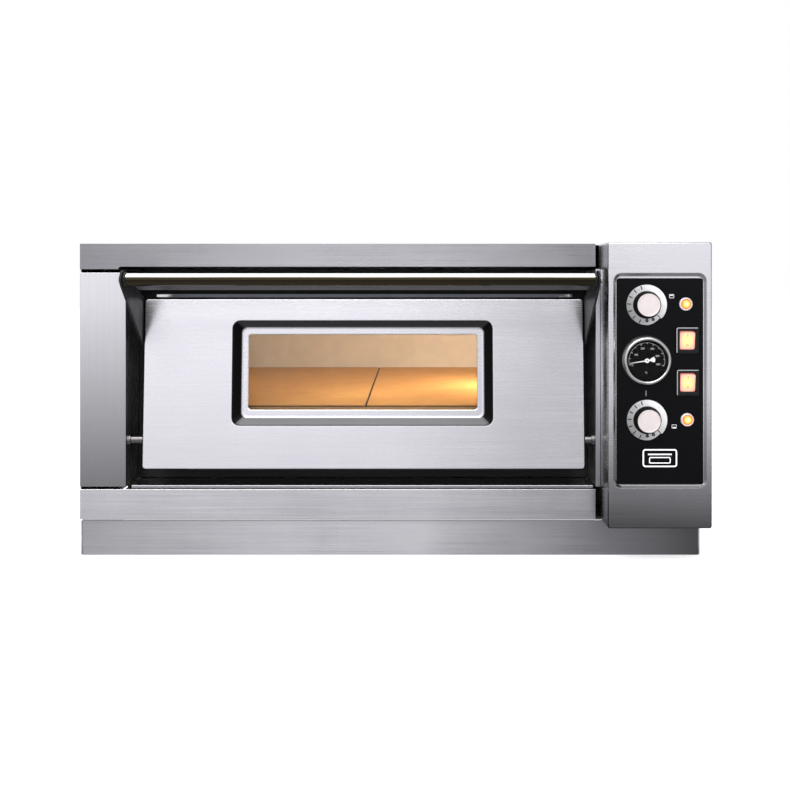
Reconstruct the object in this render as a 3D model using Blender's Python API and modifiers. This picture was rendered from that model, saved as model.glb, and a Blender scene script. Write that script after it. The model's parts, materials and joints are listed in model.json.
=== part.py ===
"""Single-deck electric bakery oven with a drop-down door and side controls.

Metres, +Z up.  The front faces -Y.  The origin is on the floor, under the
middle of the bounding box.  "Depth" is measured rearwards from the plane of
the front fascias, and every piece hangs on an empty that lies in that plane.
"""
import math

import bmesh
import bpy
from mathutils import Vector

# Overall size
WIDTH = 0.895
HEIGHT = 0.450
BODY_DEPTH = 0.735
FASCIA_Y = -0.3315
SHEET = 0.0015
GAP = 0.0003

HALF = WIDTH / 2
TOP = HEIGHT

# Plinth and base
PLINTH_HEIGHT = 0.050
PLINTH_SETBACK = 0.005
PLINTH_SHEET = 0.002
PLINTH_FLANGE = 0.030
SHADOW_GAP = 0.0025

# Front sheets
CASING_BOTTOM = PLINTH_HEIGHT + SHADOW_GAP
FASCIA_RIGHT = 0.296
LOWER_FASCIA_TOP = 0.0958
PILLAR_RIGHT = -0.3813
PILLAR_BOTTOM = 0.0998
PILLAR_TOP = 0.4082
RETURN_DEPTH = 0.078
TOP_FASCIA_BOTTOM = 0.4132
TOP_FASCIA_STEP = 0.0037
STEP_X = -0.392
FLANGE_DEPTH = 0.0137
SILL_LEFT = -0.374
SILL_RIGHT = 0.293
SILL_TOP = 0.101
SILL_DEPTH = 0.064

# Cable entry at the back
GLAND_X = 0.405
GLAND_Z = 0.110

# Control box
BOX_LEFT = 0.303
BOX_FRONT = -0.049
BOX_BACK = 0.012
BOX_BOTTOM = 0.0525
BOX_CORNER = 0.003
PANEL_X = 0.3753
PANEL_RECESS = 0.003
RECESS_HALF_WIDTH = 0.0653
RECESS_BOTTOM = 0.108
RECESS_TOP = 0.408
RECESS_SLOPE = 0.0045
OVERLAY_LEFT = 0.3154
OVERLAY_RIGHT = 0.4357
OVERLAY_BOTTOM = 0.1137
OVERLAY_TOP = 0.400
OVERLAY_THICKNESS = 0.0008
OVERLAY_BACK = BOX_FRONT + PANEL_RECESS - GAP
OVERLAY_FRONT = OVERLAY_BACK - OVERLAY_THICKNESS

# Controls: centre (x, z)
KNOBS = {"top": (0.3567, 0.3629), "floor": (0.3572, 0.2031)}
THERMOMETER = (0.3570, 0.2855)
LAMPS = {"top": (0.4114, 0.3641), "floor": (0.4133, 0.2035)}
SWITCHES = {"upper": (0.4137, 0.3135), "lower": (0.4143, 0.2549)}
DIAL_RADIUS = 0.028
KNOB_RADIUS = 0.019
KNOB_TIP = 0.0145
SHAFT_RADIUS = 0.003
SHAFT_LENGTH = 0.0268
THERMOSTAT = 0.044
BEZEL_RADIUS = 0.033
BEZEL_RIM = 0.0075
BEZEL_FLANGE_RADIUS = 0.0353
BEZEL_FLANGE_THICKNESS = 0.0016
THERMOMETER_BODY_RADIUS = 0.0295
THERMOMETER_BODY_LENGTH = 0.020
FACE_RADIUS = 0.0284
LAMP_RADIUS = 0.00935
LAMP_BODY_RADIUS = 0.006
LAMP_BODY_LENGTH = 0.015
LAMP_DOME = ((0, 0.0058), (0.0035, 0.0054), (0.0062, 0.0042), (0.0078, 0.0026))
LAMP_EDGE = 0.0018
KNOB_HUB_RADIUS = 0.0095
DIAL_BACK = 0.0006
DIAL_FRONT = 0.0032
NEEDLE_HUB = 0.0031
NEEDLE_LENGTH = 0.0233
NEEDLE_DROOP = math.radians(9)
HUB_START = 25
HUB_STEP = 26
HUB_POINTS = 6
SWITCH_FRAME = (0.031, 0.036)
SWITCH_FRAME_HEIGHT = 0.0030
ROCKER_SIZE = (0.022, 0.026)
ROCKER_PIVOT = 0.004
ROCKER_TILT = math.radians(7)
ROCKER_RISE = math.radians(23)
ROCKER_SINK = math.radians(-22)
ROCKER_VALLEY = 0.0010
ROCKER_CORNER_POINTS = 4
PANEL_CUT_DEPTH = 0.020

# Door, in its own frame: x is the oven's, y and z start at the hinge axis
HINGE_DEPTH = 0.012
HINGE_HEIGHT = 0.1655
DOOR_LEAN = math.radians(3.5)
DOOR_LEFT = -0.358
DOOR_RIGHT = 0.281
DOOR_BOTTOM = -0.0418
DOOR_TOP = 0.205
DOOR_FACE = -0.012
DOOR_RETURN = 0.010
DOOR_BACK = 0.046
DOOR_CORNER = 0.004
WINDOW_OUTER = (-0.2305, 0.1495, 0.0200, 0.1738)
WINDOW_SLOPE = (-0.2132, 0.1330, 0.0348, 0.1609)
WINDOW_OPEN = (-0.2065, 0.1260, 0.0437, 0.1526)
WINDOW_RECESS = 0.007
WINDOW_FOLD = 0.0020
GLASS_THICKNESS = 0.004
INNER_PAN = (-0.352, 0.275, 0.020, 0.2025)
INNER_PAN_FRONT = 0.0030
INNER_WINDOW = (-0.219, 0.135, 0.037, 0.157)
INNER_WINDOW_FOLD = 0.036
BAR_Y = -0.106
BAR_Z = 0.2264
BAR_RADIUS = 0.0085
ARM_THICKNESS = 0.003
PIN_HOLE = 0.0045
PIN_RADIUS = 0.004

# Mouth and baking chamber
MOUTH_FRONT = 0.0475
MOUTH_THICKNESS = 0.003
CHAMBER_LEFT = -0.3436
CHAMBER_RIGHT = 0.2664
CHAMBER_FRONT = 0.076
CHAMBER_BACK = 0.688
CHAMBER_TOP = 0.355
STONE_FRONT = 0.067
STONE_TOP = 0.208
STONE_THICKNESS = 0.015
STONE_JOINT = (CHAMBER_LEFT + CHAMBER_RIGHT) / 2
STONE_JOINT_HALF = 0.0016
TRAY_BOTTOM = STONE_TOP - STONE_THICKNESS - GAP - 0.002
HEATER_RADIUS = 0.004
HEATER_LEGS = 8
HEATER_MARGIN = 0.055
LAMP_DEPTH = 0.330
LAMP_HEIGHT = 0.285
LAMP_LENS_RADIUS = 0.030
LAMP_HOLDER_RADIUS = 0.022
WOOL_BOTTOM = 0.056
WOOL_FLOOR_TOP = 0.165
WOOL_TOP = 0.410
WOOL_LEFT_THICKNESS = 0.060

CORNER_STEPS = 4
FRONT_TURN = (math.pi / 2, 0, 0)
AXIS_TURNS = {
    "X": (math.pi / 2, 0, math.pi / 2),
    "Y": FRONT_TURN,
    "Z": (0, 0, 0),
}

# Colour, roughness, metallic
FINISHES = {
    "steel": ((0.62, 0.62, 0.64), 0.32, 1.0),
    "dark_steel": ((0.30, 0.30, 0.31), 0.45, 1.0),
    "polished": ((0.75, 0.75, 0.76), 0.15, 1.0),
    "black": ((0.02, 0.02, 0.022), 0.45, 0.0),
    "stone": ((0.62, 0.47, 0.30), 0.90, 0.0),
    "wool": ((0.72, 0.66, 0.50), 0.95, 0.0),
    "glass": ((0.55, 0.50, 0.42), 0.05, 0.0),
    "amber": ((0.95, 0.45, 0.10), 0.20, 0.0),
    "dial_silver": ((0.80, 0.80, 0.80), 0.30, 0.6),
    "white": ((0.90, 0.90, 0.88), 0.40, 0.0),
    "ceramic": ((0.75, 0.72, 0.66), 0.60, 0.0),
}


def clear_scene():
    for old in list(bpy.data.objects):
        bpy.data.objects.remove(old, do_unlink=True)


def new_collection(name):
    collection = bpy.data.collections.new(name)
    bpy.context.scene.collection.children.link(collection)
    return collection


clear_scene()
PARTS = new_collection("deck_oven")
CUTTERS = new_collection("cutters")


def new_empty(name, location, rotation=(0, 0, 0), parent=None):
    empty = bpy.data.objects.new(name, None)
    empty.location = location
    empty.rotation_euler = rotation
    empty.parent = parent
    PARTS.objects.link(empty)
    return empty


FASCIA = new_empty("fascia_plane", (0, FASCIA_Y, 0))
PIVOT = (0, HINGE_DEPTH, HINGE_HEIGHT)
LEAN = (-DOOR_LEAN, 0, 0)
DOOR = new_empty("door_axis", PIVOT, LEAN, FASCIA)
MOUTH = new_empty("mouth_plane", PIVOT, LEAN, FASCIA)


def new_material(name, finish):
    colour, roughness, metallic = FINISHES[finish]
    material = bpy.data.materials.new(name + "_material")
    material.use_nodes = True
    shader = material.node_tree.nodes["Principled BSDF"]
    shader.inputs["Base Color"].default_value = (*colour, 1.0)
    shader.inputs["Roughness"].default_value = roughness
    shader.inputs["Metallic"].default_value = metallic
    return material


def place(name, data, finish, location=(0, 0, 0), rotation=(0, 0, 0), parent=FASCIA):
    """Wrap data in an object; a piece with no finish is a cutter."""
    piece = bpy.data.objects.new(name, data)
    piece.location = location
    piece.rotation_euler = rotation
    piece.parent = parent
    if finish is None:
        CUTTERS.objects.link(piece)
        piece.hide_render = True
        piece.display_type = "WIRE"
    else:
        PARTS.objects.link(piece)
        data.materials.append(new_material(name, finish))
    return piece


def box(name, low, high, finish, parent=FASCIA):
    """A block between two corners."""
    low = Vector(low)
    high = Vector(high)
    mesh = bpy.data.meshes.new(name)
    shape = bmesh.new()
    bmesh.ops.create_cube(shape, size=1.0)
    bmesh.ops.scale(shape, vec=high - low, verts=shape.verts)
    shape.to_mesh(mesh)
    shape.free()
    return place(name, mesh, finish, (low + high) / 2, parent=parent)


def outline_curve(name, outline, thickness):
    curve = bpy.data.curves.new(name, "CURVE")
    curve.dimensions = "2D"
    curve.fill_mode = "BOTH"
    curve.extrude = thickness / 2
    spline = curve.splines.new("POLY")
    spline.points.add(len(outline) - 1)
    for point, (across, up) in zip(spline.points, outline):
        point.co = (across, up, 0, 1)
    spline.use_cyclic_u = True
    return curve


def extrusion(name, outline, middle, thickness, axis, finish, parent=FASCIA):
    """A flat outline about the point `middle`, pushed half its thickness each way.

    The outline is (y, z) for axis X, (x, z) for axis Y and (x, y) for axis Z.
    """
    curve = outline_curve(name, outline, thickness)
    return place(name, curve, finish, middle, AXIS_TURNS[axis], parent)


def curve_to_mesh(piece):
    """Swap a curve object for a welded mesh object that a Boolean can cut."""
    bpy.context.view_layer.update()
    graph = bpy.context.evaluated_depsgraph_get()
    mesh = bpy.data.meshes.new_from_object(piece.evaluated_get(graph))
    shape = bmesh.new()
    shape.from_mesh(mesh)
    bmesh.ops.remove_doubles(shape, verts=shape.verts, dist=0.00001)
    shape.to_mesh(mesh)
    shape.free()
    name = piece.name
    matrix = piece.matrix_world.copy()
    bpy.data.objects.remove(piece, do_unlink=True)
    solid = bpy.data.objects.new(name, mesh)
    solid.name = name
    PARTS.objects.link(solid)
    solid.matrix_world = matrix
    return solid


def turned(name, profile, finish, location, rotation=FRONT_TURN, parent=FASCIA, ring=False,
           steps=32):
    """A profile of (radius, height) points spun about its own axis."""
    mesh = bpy.data.meshes.new(name)
    count = len(profile)
    edges = [(index, index + 1) for index in range(count - 1)]
    if ring:
        edges.append((count - 1, 0))
    points = [(radius, 0, height) for radius, height in profile]
    mesh.from_pydata(points, edges, [])
    piece = place(name, mesh, finish, location, rotation, parent)
    screw = piece.modifiers.new("turn", "SCREW")
    screw.steps = steps
    screw.render_steps = steps
    screw.use_merge_vertices = True
    screw.merge_threshold = 0.00001
    screw.use_smooth_shade = True
    return piece


def rounded_loop(rect, radius, depth):
    """Points round a rectangle (x0, x1, z0, z1) at one depth, anticlockwise from the front."""
    left, right, bottom, top = rect
    corners = (
        (right - radius, bottom + radius, -90),
        (right - radius, top - radius, 0),
        (left + radius, top - radius, 90),
        (left + radius, bottom + radius, 180),
    )
    loop = []
    for centre_x, centre_z, first in corners:
        for step in range(CORNER_STEPS + 1):
            angle = math.radians(first + 90 * step / CORNER_STEPS)
            x = centre_x + radius * math.cos(angle)
            z = centre_z + radius * math.sin(angle)
            loop.append((x, depth, z))
    return loop


def grown(rect, amount):
    left, right, bottom, top = rect
    return (left - amount, right + amount, bottom - amount, top + amount)


def loft(name, loops, finish, parent=FASCIA, ring=False, cap=False, rear=False):
    """Join loops of equal length with quads, from the outer back edge inwards.

    `ring` joins the last loop to the first, `cap` closes the last loop and
    `rear` turns the faces to look backwards.
    """
    mesh = bpy.data.meshes.new(name)
    shape = bmesh.new()
    rows = [[shape.verts.new(point) for point in loop] for loop in loops]
    pairs = list(zip(rows, rows[1:]))
    if ring:
        pairs.append((rows[-1], rows[0]))
    for outer, inner in pairs:
        for index in range(len(outer)):
            following = (index + 1) % len(outer)
            shape.faces.new((outer[index], outer[following], inner[following], inner[index]))
    if cap:
        shape.faces.new(rows[-1])
    if rear:
        bmesh.ops.reverse_faces(shape, faces=shape.faces)
    shape.to_mesh(mesh)
    shape.free()
    return place(name, mesh, finish, parent=parent)


def solidify(piece, thickness=SHEET):
    """Give a sheet its thickness behind the faces that were drawn."""
    shell = piece.modifiers.new("sheet", "SOLIDIFY")
    shell.thickness = thickness
    shell.offset = -1
    shell.use_even_offset = True


def frame_prism(name, outer, inner, corner, front, back, finish, parent=FASCIA):
    """A rectangular ring with straight sides between two depths."""
    loops = [
        rounded_loop(outer, corner, back),
        rounded_loop(outer, corner, front),
        rounded_loop(inner, corner, front),
        rounded_loop(inner, corner, back),
    ]
    return loft(name, loops, finish, parent, ring=True)


def cut(target, cutter):
    boolean = target.modifiers.new("cut_" + cutter.name, "BOOLEAN")
    boolean.operation = "DIFFERENCE"
    boolean.object = cutter


def round_cutter(name, radius, length, location, rotation=FRONT_TURN, parent=FASCIA):
    half = length / 2
    profile = [(0, half), (radius, half), (radius, -half), (0, -half)]
    return turned(name, profile, None, location, rotation, parent)


# ---------------------------------------------------------------- casing

def angle_rail(outward):
    """An L section as (across, up), its upright on the outward side."""
    outer = 0.0
    inner = -outward * PLINTH_SHEET
    toe = -outward * PLINTH_FLANGE
    top = PLINTH_HEIGHT - GAP
    points = [(outer, 0), (outer, top), (inner, top), (inner, PLINTH_SHEET)]
    return points + [(toe, PLINTH_SHEET), (toe, 0)]


def make_plinth():
    front = PLINTH_SETBACK
    back = BODY_DEPTH - PLINTH_SETBACK
    width = WIDTH - 2 * (PLINTH_SHEET + GAP)
    extrusion("plinth_front", angle_rail(-1), (0, front, 0), width, "X", "steel")
    extrusion("plinth_back", angle_rail(1), (0, back, 0), width, "X", "steel")
    top = PLINTH_HEIGHT - GAP
    box("plinth_left", (-HALF, front, 0), (-HALF + PLINTH_SHEET, back, top), "steel")
    box("plinth_right", (HALF - PLINTH_SHEET, front, 0), (HALF, back, top), "steel")
    inset_x = 0.006
    inset_y = 0.010
    low = (-HALF + inset_x, inset_y, PLINTH_HEIGHT)
    high = (HALF - inset_x, BODY_DEPTH - inset_y, CASING_BOTTOM - GAP)
    box("base_pan", low, high, "dark_steel")


def make_front_sheets():
    box("lower_fascia", (-HALF, 0, CASING_BOTTOM), (FASCIA_RIGHT, SHEET, LOWER_FASCIA_TOP), "steel")

    lip = 0.003
    foot = SILL_TOP - 0.0045
    sill = [(lip, foot), (lip + SHEET, foot)]
    sill += [(lip + SHEET, SILL_TOP - SHEET), (SILL_DEPTH, SILL_TOP - SHEET)]
    sill += [(SILL_DEPTH, SILL_TOP), (lip, SILL_TOP)]
    sill_middle = (SILL_LEFT + SILL_RIGHT) / 2
    extrusion("door_sill", sill, (sill_middle, 0, 0), SILL_RIGHT - SILL_LEFT, "X", "polished")

    height = PILLAR_TOP - PILLAR_BOTTOM
    level = (PILLAR_TOP + PILLAR_BOTTOM) / 2
    inner = PILLAR_RIGHT - SHEET
    pillar = [(-HALF, 0), (PILLAR_RIGHT, 0), (PILLAR_RIGHT, RETURN_DEPTH), (inner, RETURN_DEPTH)]
    pillar += [(inner, SHEET), (-HALF, SHEET)]
    extrusion("left_pillar", pillar, (0, 0, level), height, "Z", "steel")

    left = FASCIA_RIGHT
    right = BOX_LEFT - GAP
    jamb = [(left, 0), (right, 0), (right, SHEET), (left + SHEET, SHEET)]
    jamb += [(left + SHEET, RETURN_DEPTH), (left, RETURN_DEPTH)]
    jamb_top = TOP_FASCIA_BOTTOM
    jamb_level = (jamb_top + PILLAR_BOTTOM) / 2
    jamb_height = jamb_top - PILLAR_BOTTOM
    extrusion("right_jamb", jamb, (0, 0, jamb_level), jamb_height, "Z", "steel")


def make_top_fascia():
    """A channel: front, top flange and the ceiling of the door recess, with a stepped lip."""
    width = FASCIA_RIGHT + HALF - GAP
    middle = -HALF + width / 2
    shelf = TOP_FASCIA_BOTTOM + TOP_FASCIA_STEP
    section = [(0, TOP_FASCIA_BOTTOM), (SHEET, TOP_FASCIA_BOTTOM), (SHEET, shelf)]
    section += [(RETURN_DEPTH, shelf), (RETURN_DEPTH, shelf + SHEET), (SHEET, shelf + SHEET)]
    section += [(SHEET, TOP - SHEET), (FLANGE_DEPTH, TOP - SHEET), (FLANGE_DEPTH, TOP), (0, TOP)]
    rail = extrusion("top_fascia", section, (middle, 0, 0), width, "X", "steel")
    fascia = curve_to_mesh(rail)
    reach = 0.010
    notch = (STEP_X, FASCIA_RIGHT + reach, TOP_FASCIA_BOTTOM - reach, shelf)
    corner = TOP_FASCIA_STEP * 0.9
    depths = (SHEET + GAP, -reach)
    loops = [rounded_loop(notch, corner, depth) for depth in depths]
    cutter = loft("step_cutter", loops, None, cap=True)
    close_back(cutter.data)
    cut(fascia, cutter)
    clear = SHEET + 2 * GAP
    low = (-HALF - reach, SHEET + GAP, shelf - reach)
    high = (-HALF + clear, RETURN_DEPTH + reach, shelf + reach)
    cut(fascia, box("side_panel_clearance", low, high, None))


def close_back(mesh):
    """Fill the open rear end of a lofted cutter."""
    shape = bmesh.new()
    shape.from_mesh(mesh)
    rim = [edge for edge in shape.edges if edge.is_boundary]
    bmesh.ops.holes_fill(shape, edges=rim)
    bmesh.ops.recalc_face_normals(shape, faces=shape.faces)
    shape.to_mesh(mesh)
    shape.free()


def make_covers():
    bottom = CASING_BOTTOM
    top = TOP - SHEET - GAP
    rear = BODY_DEPTH - SHEET - GAP
    box("top_cover", (-HALF, FLANGE_DEPTH + GAP, TOP - SHEET), (HALF, BODY_DEPTH, TOP), "steel")
    box("left_side_panel", (-HALF, SHEET + GAP, bottom), (-HALF + SHEET, rear, top), "steel")
    box("right_side_panel", (HALF - SHEET, BOX_BACK + GAP, bottom), (HALF, rear, top), "steel")
    box("back_panel", (-HALF, BODY_DEPTH - SHEET, bottom), (HALF, BODY_DEPTH, top), "steel")
    divider = BOX_LEFT + SHEET
    box("electrics_divider", (BOX_LEFT, BOX_BACK + GAP, bottom), (divider, rear, top), "dark_steel")


def make_cable_gland():
    """A round base against the back panel and a chamfered nut round the bore for the cable."""
    bore = 0.005
    nut = 0.0105
    base = 0.013
    base_height = 0.009
    nut_height = 0.017
    length = 0.020
    profile = [(bore, length), (nut - 0.0015, length), (nut, nut_height), (nut, base_height)]
    profile += [(base, base_height), (base, 0.0), (bore, 0.0)]
    backwards = (-math.pi / 2, 0, 0)
    place_at = (GLAND_X, BODY_DEPTH + GAP, GLAND_Z)
    turned("cable_gland", profile, "black", place_at, backwards, ring=True, steps=24)


# ---------------------------------------------------------------- control box

def make_control_box():
    outer = (BOX_LEFT, HALF, BOX_BOTTOM, TOP)
    recess = (PANEL_X - RECESS_HALF_WIDTH, PANEL_X + RECESS_HALF_WIDTH, RECESS_BOTTOM, RECESS_TOP)
    floor = grown(recess, -RECESS_SLOPE)
    loops = [
        rounded_loop(outer, BOX_CORNER, BOX_BACK),
        rounded_loop(outer, BOX_CORNER, BOX_FRONT + 0.001),
        rounded_loop(grown(outer, -0.001), BOX_CORNER, BOX_FRONT),
        rounded_loop(recess, 0.010, BOX_FRONT),
        rounded_loop(floor, 0.006, BOX_FRONT + PANEL_RECESS),
    ]
    shell = loft("control_box_shell", loops, "steel", cap=True)
    solidify(shell)
    return shell


def make_overlay():
    outline = (OVERLAY_LEFT, OVERLAY_RIGHT, OVERLAY_BOTTOM, OVERLAY_TOP)
    loops = [rounded_loop(outline, 0.004, OVERLAY_BACK), rounded_loop(outline, 0.004, OVERLAY_FRONT)]
    overlay = loft("control_overlay", loops, "black", cap=True)
    close_back(overlay.data)
    return overlay


def panel_hole(name, radius, centre):
    x, z = centre
    return round_cutter(name, radius, PANEL_CUT_DEPTH, (x, BOX_FRONT, z))


def cut_panel_openings(shell, overlay):
    shaft_hole = SHAFT_RADIUS + 0.0015
    body_hole = THERMOMETER_BODY_RADIUS + 0.0005
    lamp_hole = LAMP_BODY_RADIUS + 0.0006
    cutters = [panel_hole("thermometer_hole", body_hole, THERMOMETER)]
    cutters += [panel_hole("shaft_hole_" + name, shaft_hole, at) for name, at in KNOBS.items()]
    cutters += [panel_hole("lamp_hole_" + name, lamp_hole, at) for name, at in LAMPS.items()]
    clearance = 0.001
    for name, (x, z) in SWITCHES.items():
        half_x = ROCKER_SIZE[0] / 2 + clearance
        half_z = ROCKER_SIZE[1] / 2 + clearance
        low = (x - half_x, BOX_FRONT - PANEL_CUT_DEPTH / 2, z - half_z)
        high = (x + half_x, BOX_FRONT + PANEL_CUT_DEPTH / 2, z + half_z)
        cutters.append(box("switch_hole_" + name, low, high, None))
    for cutter in cutters:
        cut(shell, cutter)
        cut(overlay, cutter)


def dial_profile():
    bore = KNOB_HUB_RADIUS + GAP
    edge = 0.0008
    profile = [(bore, DIAL_FRONT), (DIAL_RADIUS - edge, DIAL_FRONT)]
    profile += [(DIAL_RADIUS, DIAL_FRONT - edge), (DIAL_RADIUS, DIAL_BACK), (bore, DIAL_BACK)]
    return profile


def grip_profile():
    crown = KNOB_RADIUS - 0.0025
    brow = KNOB_RADIUS - 0.0005
    profile = [(0, KNOB_TIP), (crown, KNOB_TIP), (brow, KNOB_TIP - 0.002)]
    profile += [(KNOB_RADIUS, DIAL_FRONT + GAP), (KNOB_HUB_RADIUS, DIAL_FRONT + GAP)]
    profile += [(KNOB_HUB_RADIUS, DIAL_BACK), (SHAFT_RADIUS, DIAL_BACK)]
    return profile + [(SHAFT_RADIUS, -SHAFT_LENGTH), (0, -SHAFT_LENGTH)]


def make_knobs():
    """A black grip on a shaft, with a flat scale dial behind it that turns with it."""
    for name, (x, z) in KNOBS.items():
        location = (x, OVERLAY_FRONT, z)
        turned("knob_dial_" + name, dial_profile(), "dial_silver", location, ring=True, steps=40)
        turned("knob_grip_" + name, grip_profile(), "black", location)


def make_thermostats():
    half = THERMOSTAT / 2
    front = OVERLAY_FRONT + SHAFT_LENGTH + GAP
    for name, (x, z) in KNOBS.items():
        low = (x - half, front, z - half)
        high = (x + half, front + THERMOSTAT, z + half)
        box("thermostat_" + name, low, high, "ceramic")


def needle_outline():
    """A hub with a long tapered hand to the left and a fan-shaped tail to the right."""
    root = 0.0030
    tip_half = 0.0004
    root_half = 0.0008
    tail = [(0.0035, -root_half), (0.0098, -0.0040), (0.0115, 0), (0.0098, 0.0040)]
    tail.append((0.0035, root_half))
    hand_below = [(-NEEDLE_LENGTH, -tip_half), (-root, -root_half)]
    hand_above = [(-root, root_half), (-NEEDLE_LENGTH, tip_half)]
    return hand_below + hub_arc(HUB_START + 180) + tail + hub_arc(HUB_START) + hand_above


def hub_arc(first):
    """Points round one side of the needle's hub, anticlockwise from `first` degrees."""
    points = []
    for step in range(HUB_POINTS):
        angle = math.radians(first + HUB_STEP * step)
        points.append((NEEDLE_HUB * math.cos(angle), NEEDLE_HUB * math.sin(angle)))
    return points


def thermometer_profile():
    """A cup for the dial, a rounded rim, a thin flange on the panel and a body behind it."""
    cup_floor = 0.0005
    cup = FACE_RADIUS + GAP
    lip = FACE_RADIUS + 0.0012
    chamfer = 0.0006
    crown = BEZEL_RADIUS - 0.0020
    shoulder = BEZEL_RIM - 0.0030
    profile = [(0, cup_floor), (cup, cup_floor), (cup, BEZEL_RIM - chamfer), (lip, BEZEL_RIM)]
    profile += [(crown, BEZEL_RIM), (BEZEL_RADIUS, shoulder)]
    profile += [(BEZEL_RADIUS, BEZEL_FLANGE_THICKNESS)]
    profile += [(BEZEL_FLANGE_RADIUS, BEZEL_FLANGE_THICKNESS), (BEZEL_FLANGE_RADIUS, GAP)]
    profile += [(THERMOMETER_BODY_RADIUS, GAP)]
    profile += [(THERMOMETER_BODY_RADIUS, -THERMOMETER_BODY_LENGTH)]
    return profile + [(0, -THERMOMETER_BODY_LENGTH)]


def disc_profile(radius, low, high):
    return [(0, high), (radius, high), (radius, low), (0, low)]


def make_thermometer():
    x, z = THERMOMETER
    location = (x, OVERLAY_FRONT, z)
    steps = 40
    turned("thermometer_case", thermometer_profile(), "polished", location, steps=steps)
    dial = disc_profile(FACE_RADIUS, 0.0008, 0.0016)
    turned("thermometer_dial", dial, "black", location, steps=steps)
    glass = disc_profile(FACE_RADIUS, 0.0050, 0.0064)
    turned("thermometer_glass", glass, "glass", location, steps=steps)
    needle_height = 0.0024
    needle_at = (x, OVERLAY_FRONT - needle_height, z)
    needle = extrusion("thermometer_needle", needle_outline(), needle_at, 0.0006, "Y", "white")
    needle.rotation_euler = (math.pi / 2, -NEEDLE_DROOP, 0)


def make_pilot_lamps():
    for name, (x, z) in LAMPS.items():
        lens = list(LAMP_DOME) + [(LAMP_RADIUS, LAMP_EDGE), (LAMP_RADIUS, GAP)]
        lens += [(LAMP_BODY_RADIUS, GAP), (LAMP_BODY_RADIUS, -LAMP_BODY_LENGTH)]
        lens += [(0, -LAMP_BODY_LENGTH)]
        turned("pilot_lamp_" + name, lens, "amber", (x, OVERLAY_FRONT, z), steps=28)


def rocker_end(start, end, tilt, side):
    """Points along one round end of the rocker; `side` is 1 for the top and -1 for the foot."""
    reach = ROCKER_SIZE[1] / 2
    last = ROCKER_CORNER_POINTS - 1
    points = []
    for step in range(ROCKER_CORNER_POINTS):
        angle = start + (end - start) * step / last + tilt
        points.append((-reach * math.sin(angle), side * reach * math.cos(angle)))
    return points


def rocker_outline():
    """Side view about the pivot as (y, z): round ends and a shallow V across the front."""
    valley = ROCKER_SIZE[1] / 2 * math.sin(ROCKER_RISE) - ROCKER_VALLEY
    fold = (-valley * math.cos(ROCKER_TILT), -valley * math.sin(ROCKER_TILT))
    head = rocker_end(ROCKER_SINK, ROCKER_RISE, ROCKER_TILT, 1)
    foot = rocker_end(ROCKER_RISE, ROCKER_SINK, -ROCKER_TILT, -1)
    return head + [fold] + foot


def make_switches():
    width, height = SWITCH_FRAME
    clearance = 0.0004
    for name, (x, z) in SWITCHES.items():
        outer = (x - width / 2, x + width / 2, z - height / 2, z + height / 2)
        half_x = ROCKER_SIZE[0] / 2 + clearance
        half_z = ROCKER_SIZE[1] / 2 + clearance
        inner = (x - half_x, x + half_x, z - half_z, z + half_z)
        front = OVERLAY_FRONT - SWITCH_FRAME_HEIGHT
        back = OVERLAY_FRONT - GAP
        frame_prism("switch_frame_" + name, outer, inner, 0.0005, front, back, "black")
        pivot = (x, OVERLAY_FRONT + ROCKER_PIVOT, z)
        extrusion("switch_rocker_" + name, rocker_outline(), pivot, ROCKER_SIZE[0], "X", "amber")


# ---------------------------------------------------------------- chamber

def make_mouth_frame():
    outer = (PILLAR_RIGHT + GAP, FASCIA_RIGHT - GAP, -0.0608, 0.2515)
    inner = (CHAMBER_LEFT, CHAMBER_RIGHT, 0.0445, 0.1927)
    back = MOUTH_FRONT + MOUTH_THICKNESS
    frame_prism("mouth_frame", outer, inner, 0.002, MOUTH_FRONT, back, "dark_steel", MOUTH)


def make_chamber():
    left = CHAMBER_LEFT
    right = CHAMBER_RIGHT
    front = CHAMBER_FRONT
    back = CHAMBER_BACK
    tray_top = TRAY_BOTTOM + 0.002
    box("chamber_floor", (left + GAP, STONE_FRONT, TRAY_BOTTOM), (right - GAP, back - GAP, tray_top),
        "dark_steel")
    joint = STONE_JOINT_HALF
    spans = {"left": (left + GAP, STONE_JOINT - joint), "right": (STONE_JOINT + joint, right - GAP)}
    for name, (start, end) in spans.items():
        low = (start, STONE_FRONT, tray_top + GAP)
        high = (end, back - GAP, STONE_TOP)
        box("stone_slab_" + name, low, high, "stone")
    top = CHAMBER_TOP
    box("chamber_ceiling", (left, front, top), (right, back, top + SHEET), "dark_steel")
    low = (left - SHEET - GAP, front, TRAY_BOTTOM)
    box("chamber_left_wall", low, (left - GAP, back, top + SHEET), "dark_steel")
    low = (right + GAP, front, TRAY_BOTTOM)
    wall = box("chamber_right_wall", low, (right + SHEET + GAP, back, top + SHEET), "dark_steel")
    low = (left - SHEET - GAP, back + GAP, TRAY_BOTTOM)
    high = (right + SHEET + GAP, back + GAP + SHEET, top + SHEET)
    box("chamber_back_wall", low, high, "dark_steel")
    return wall


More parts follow.
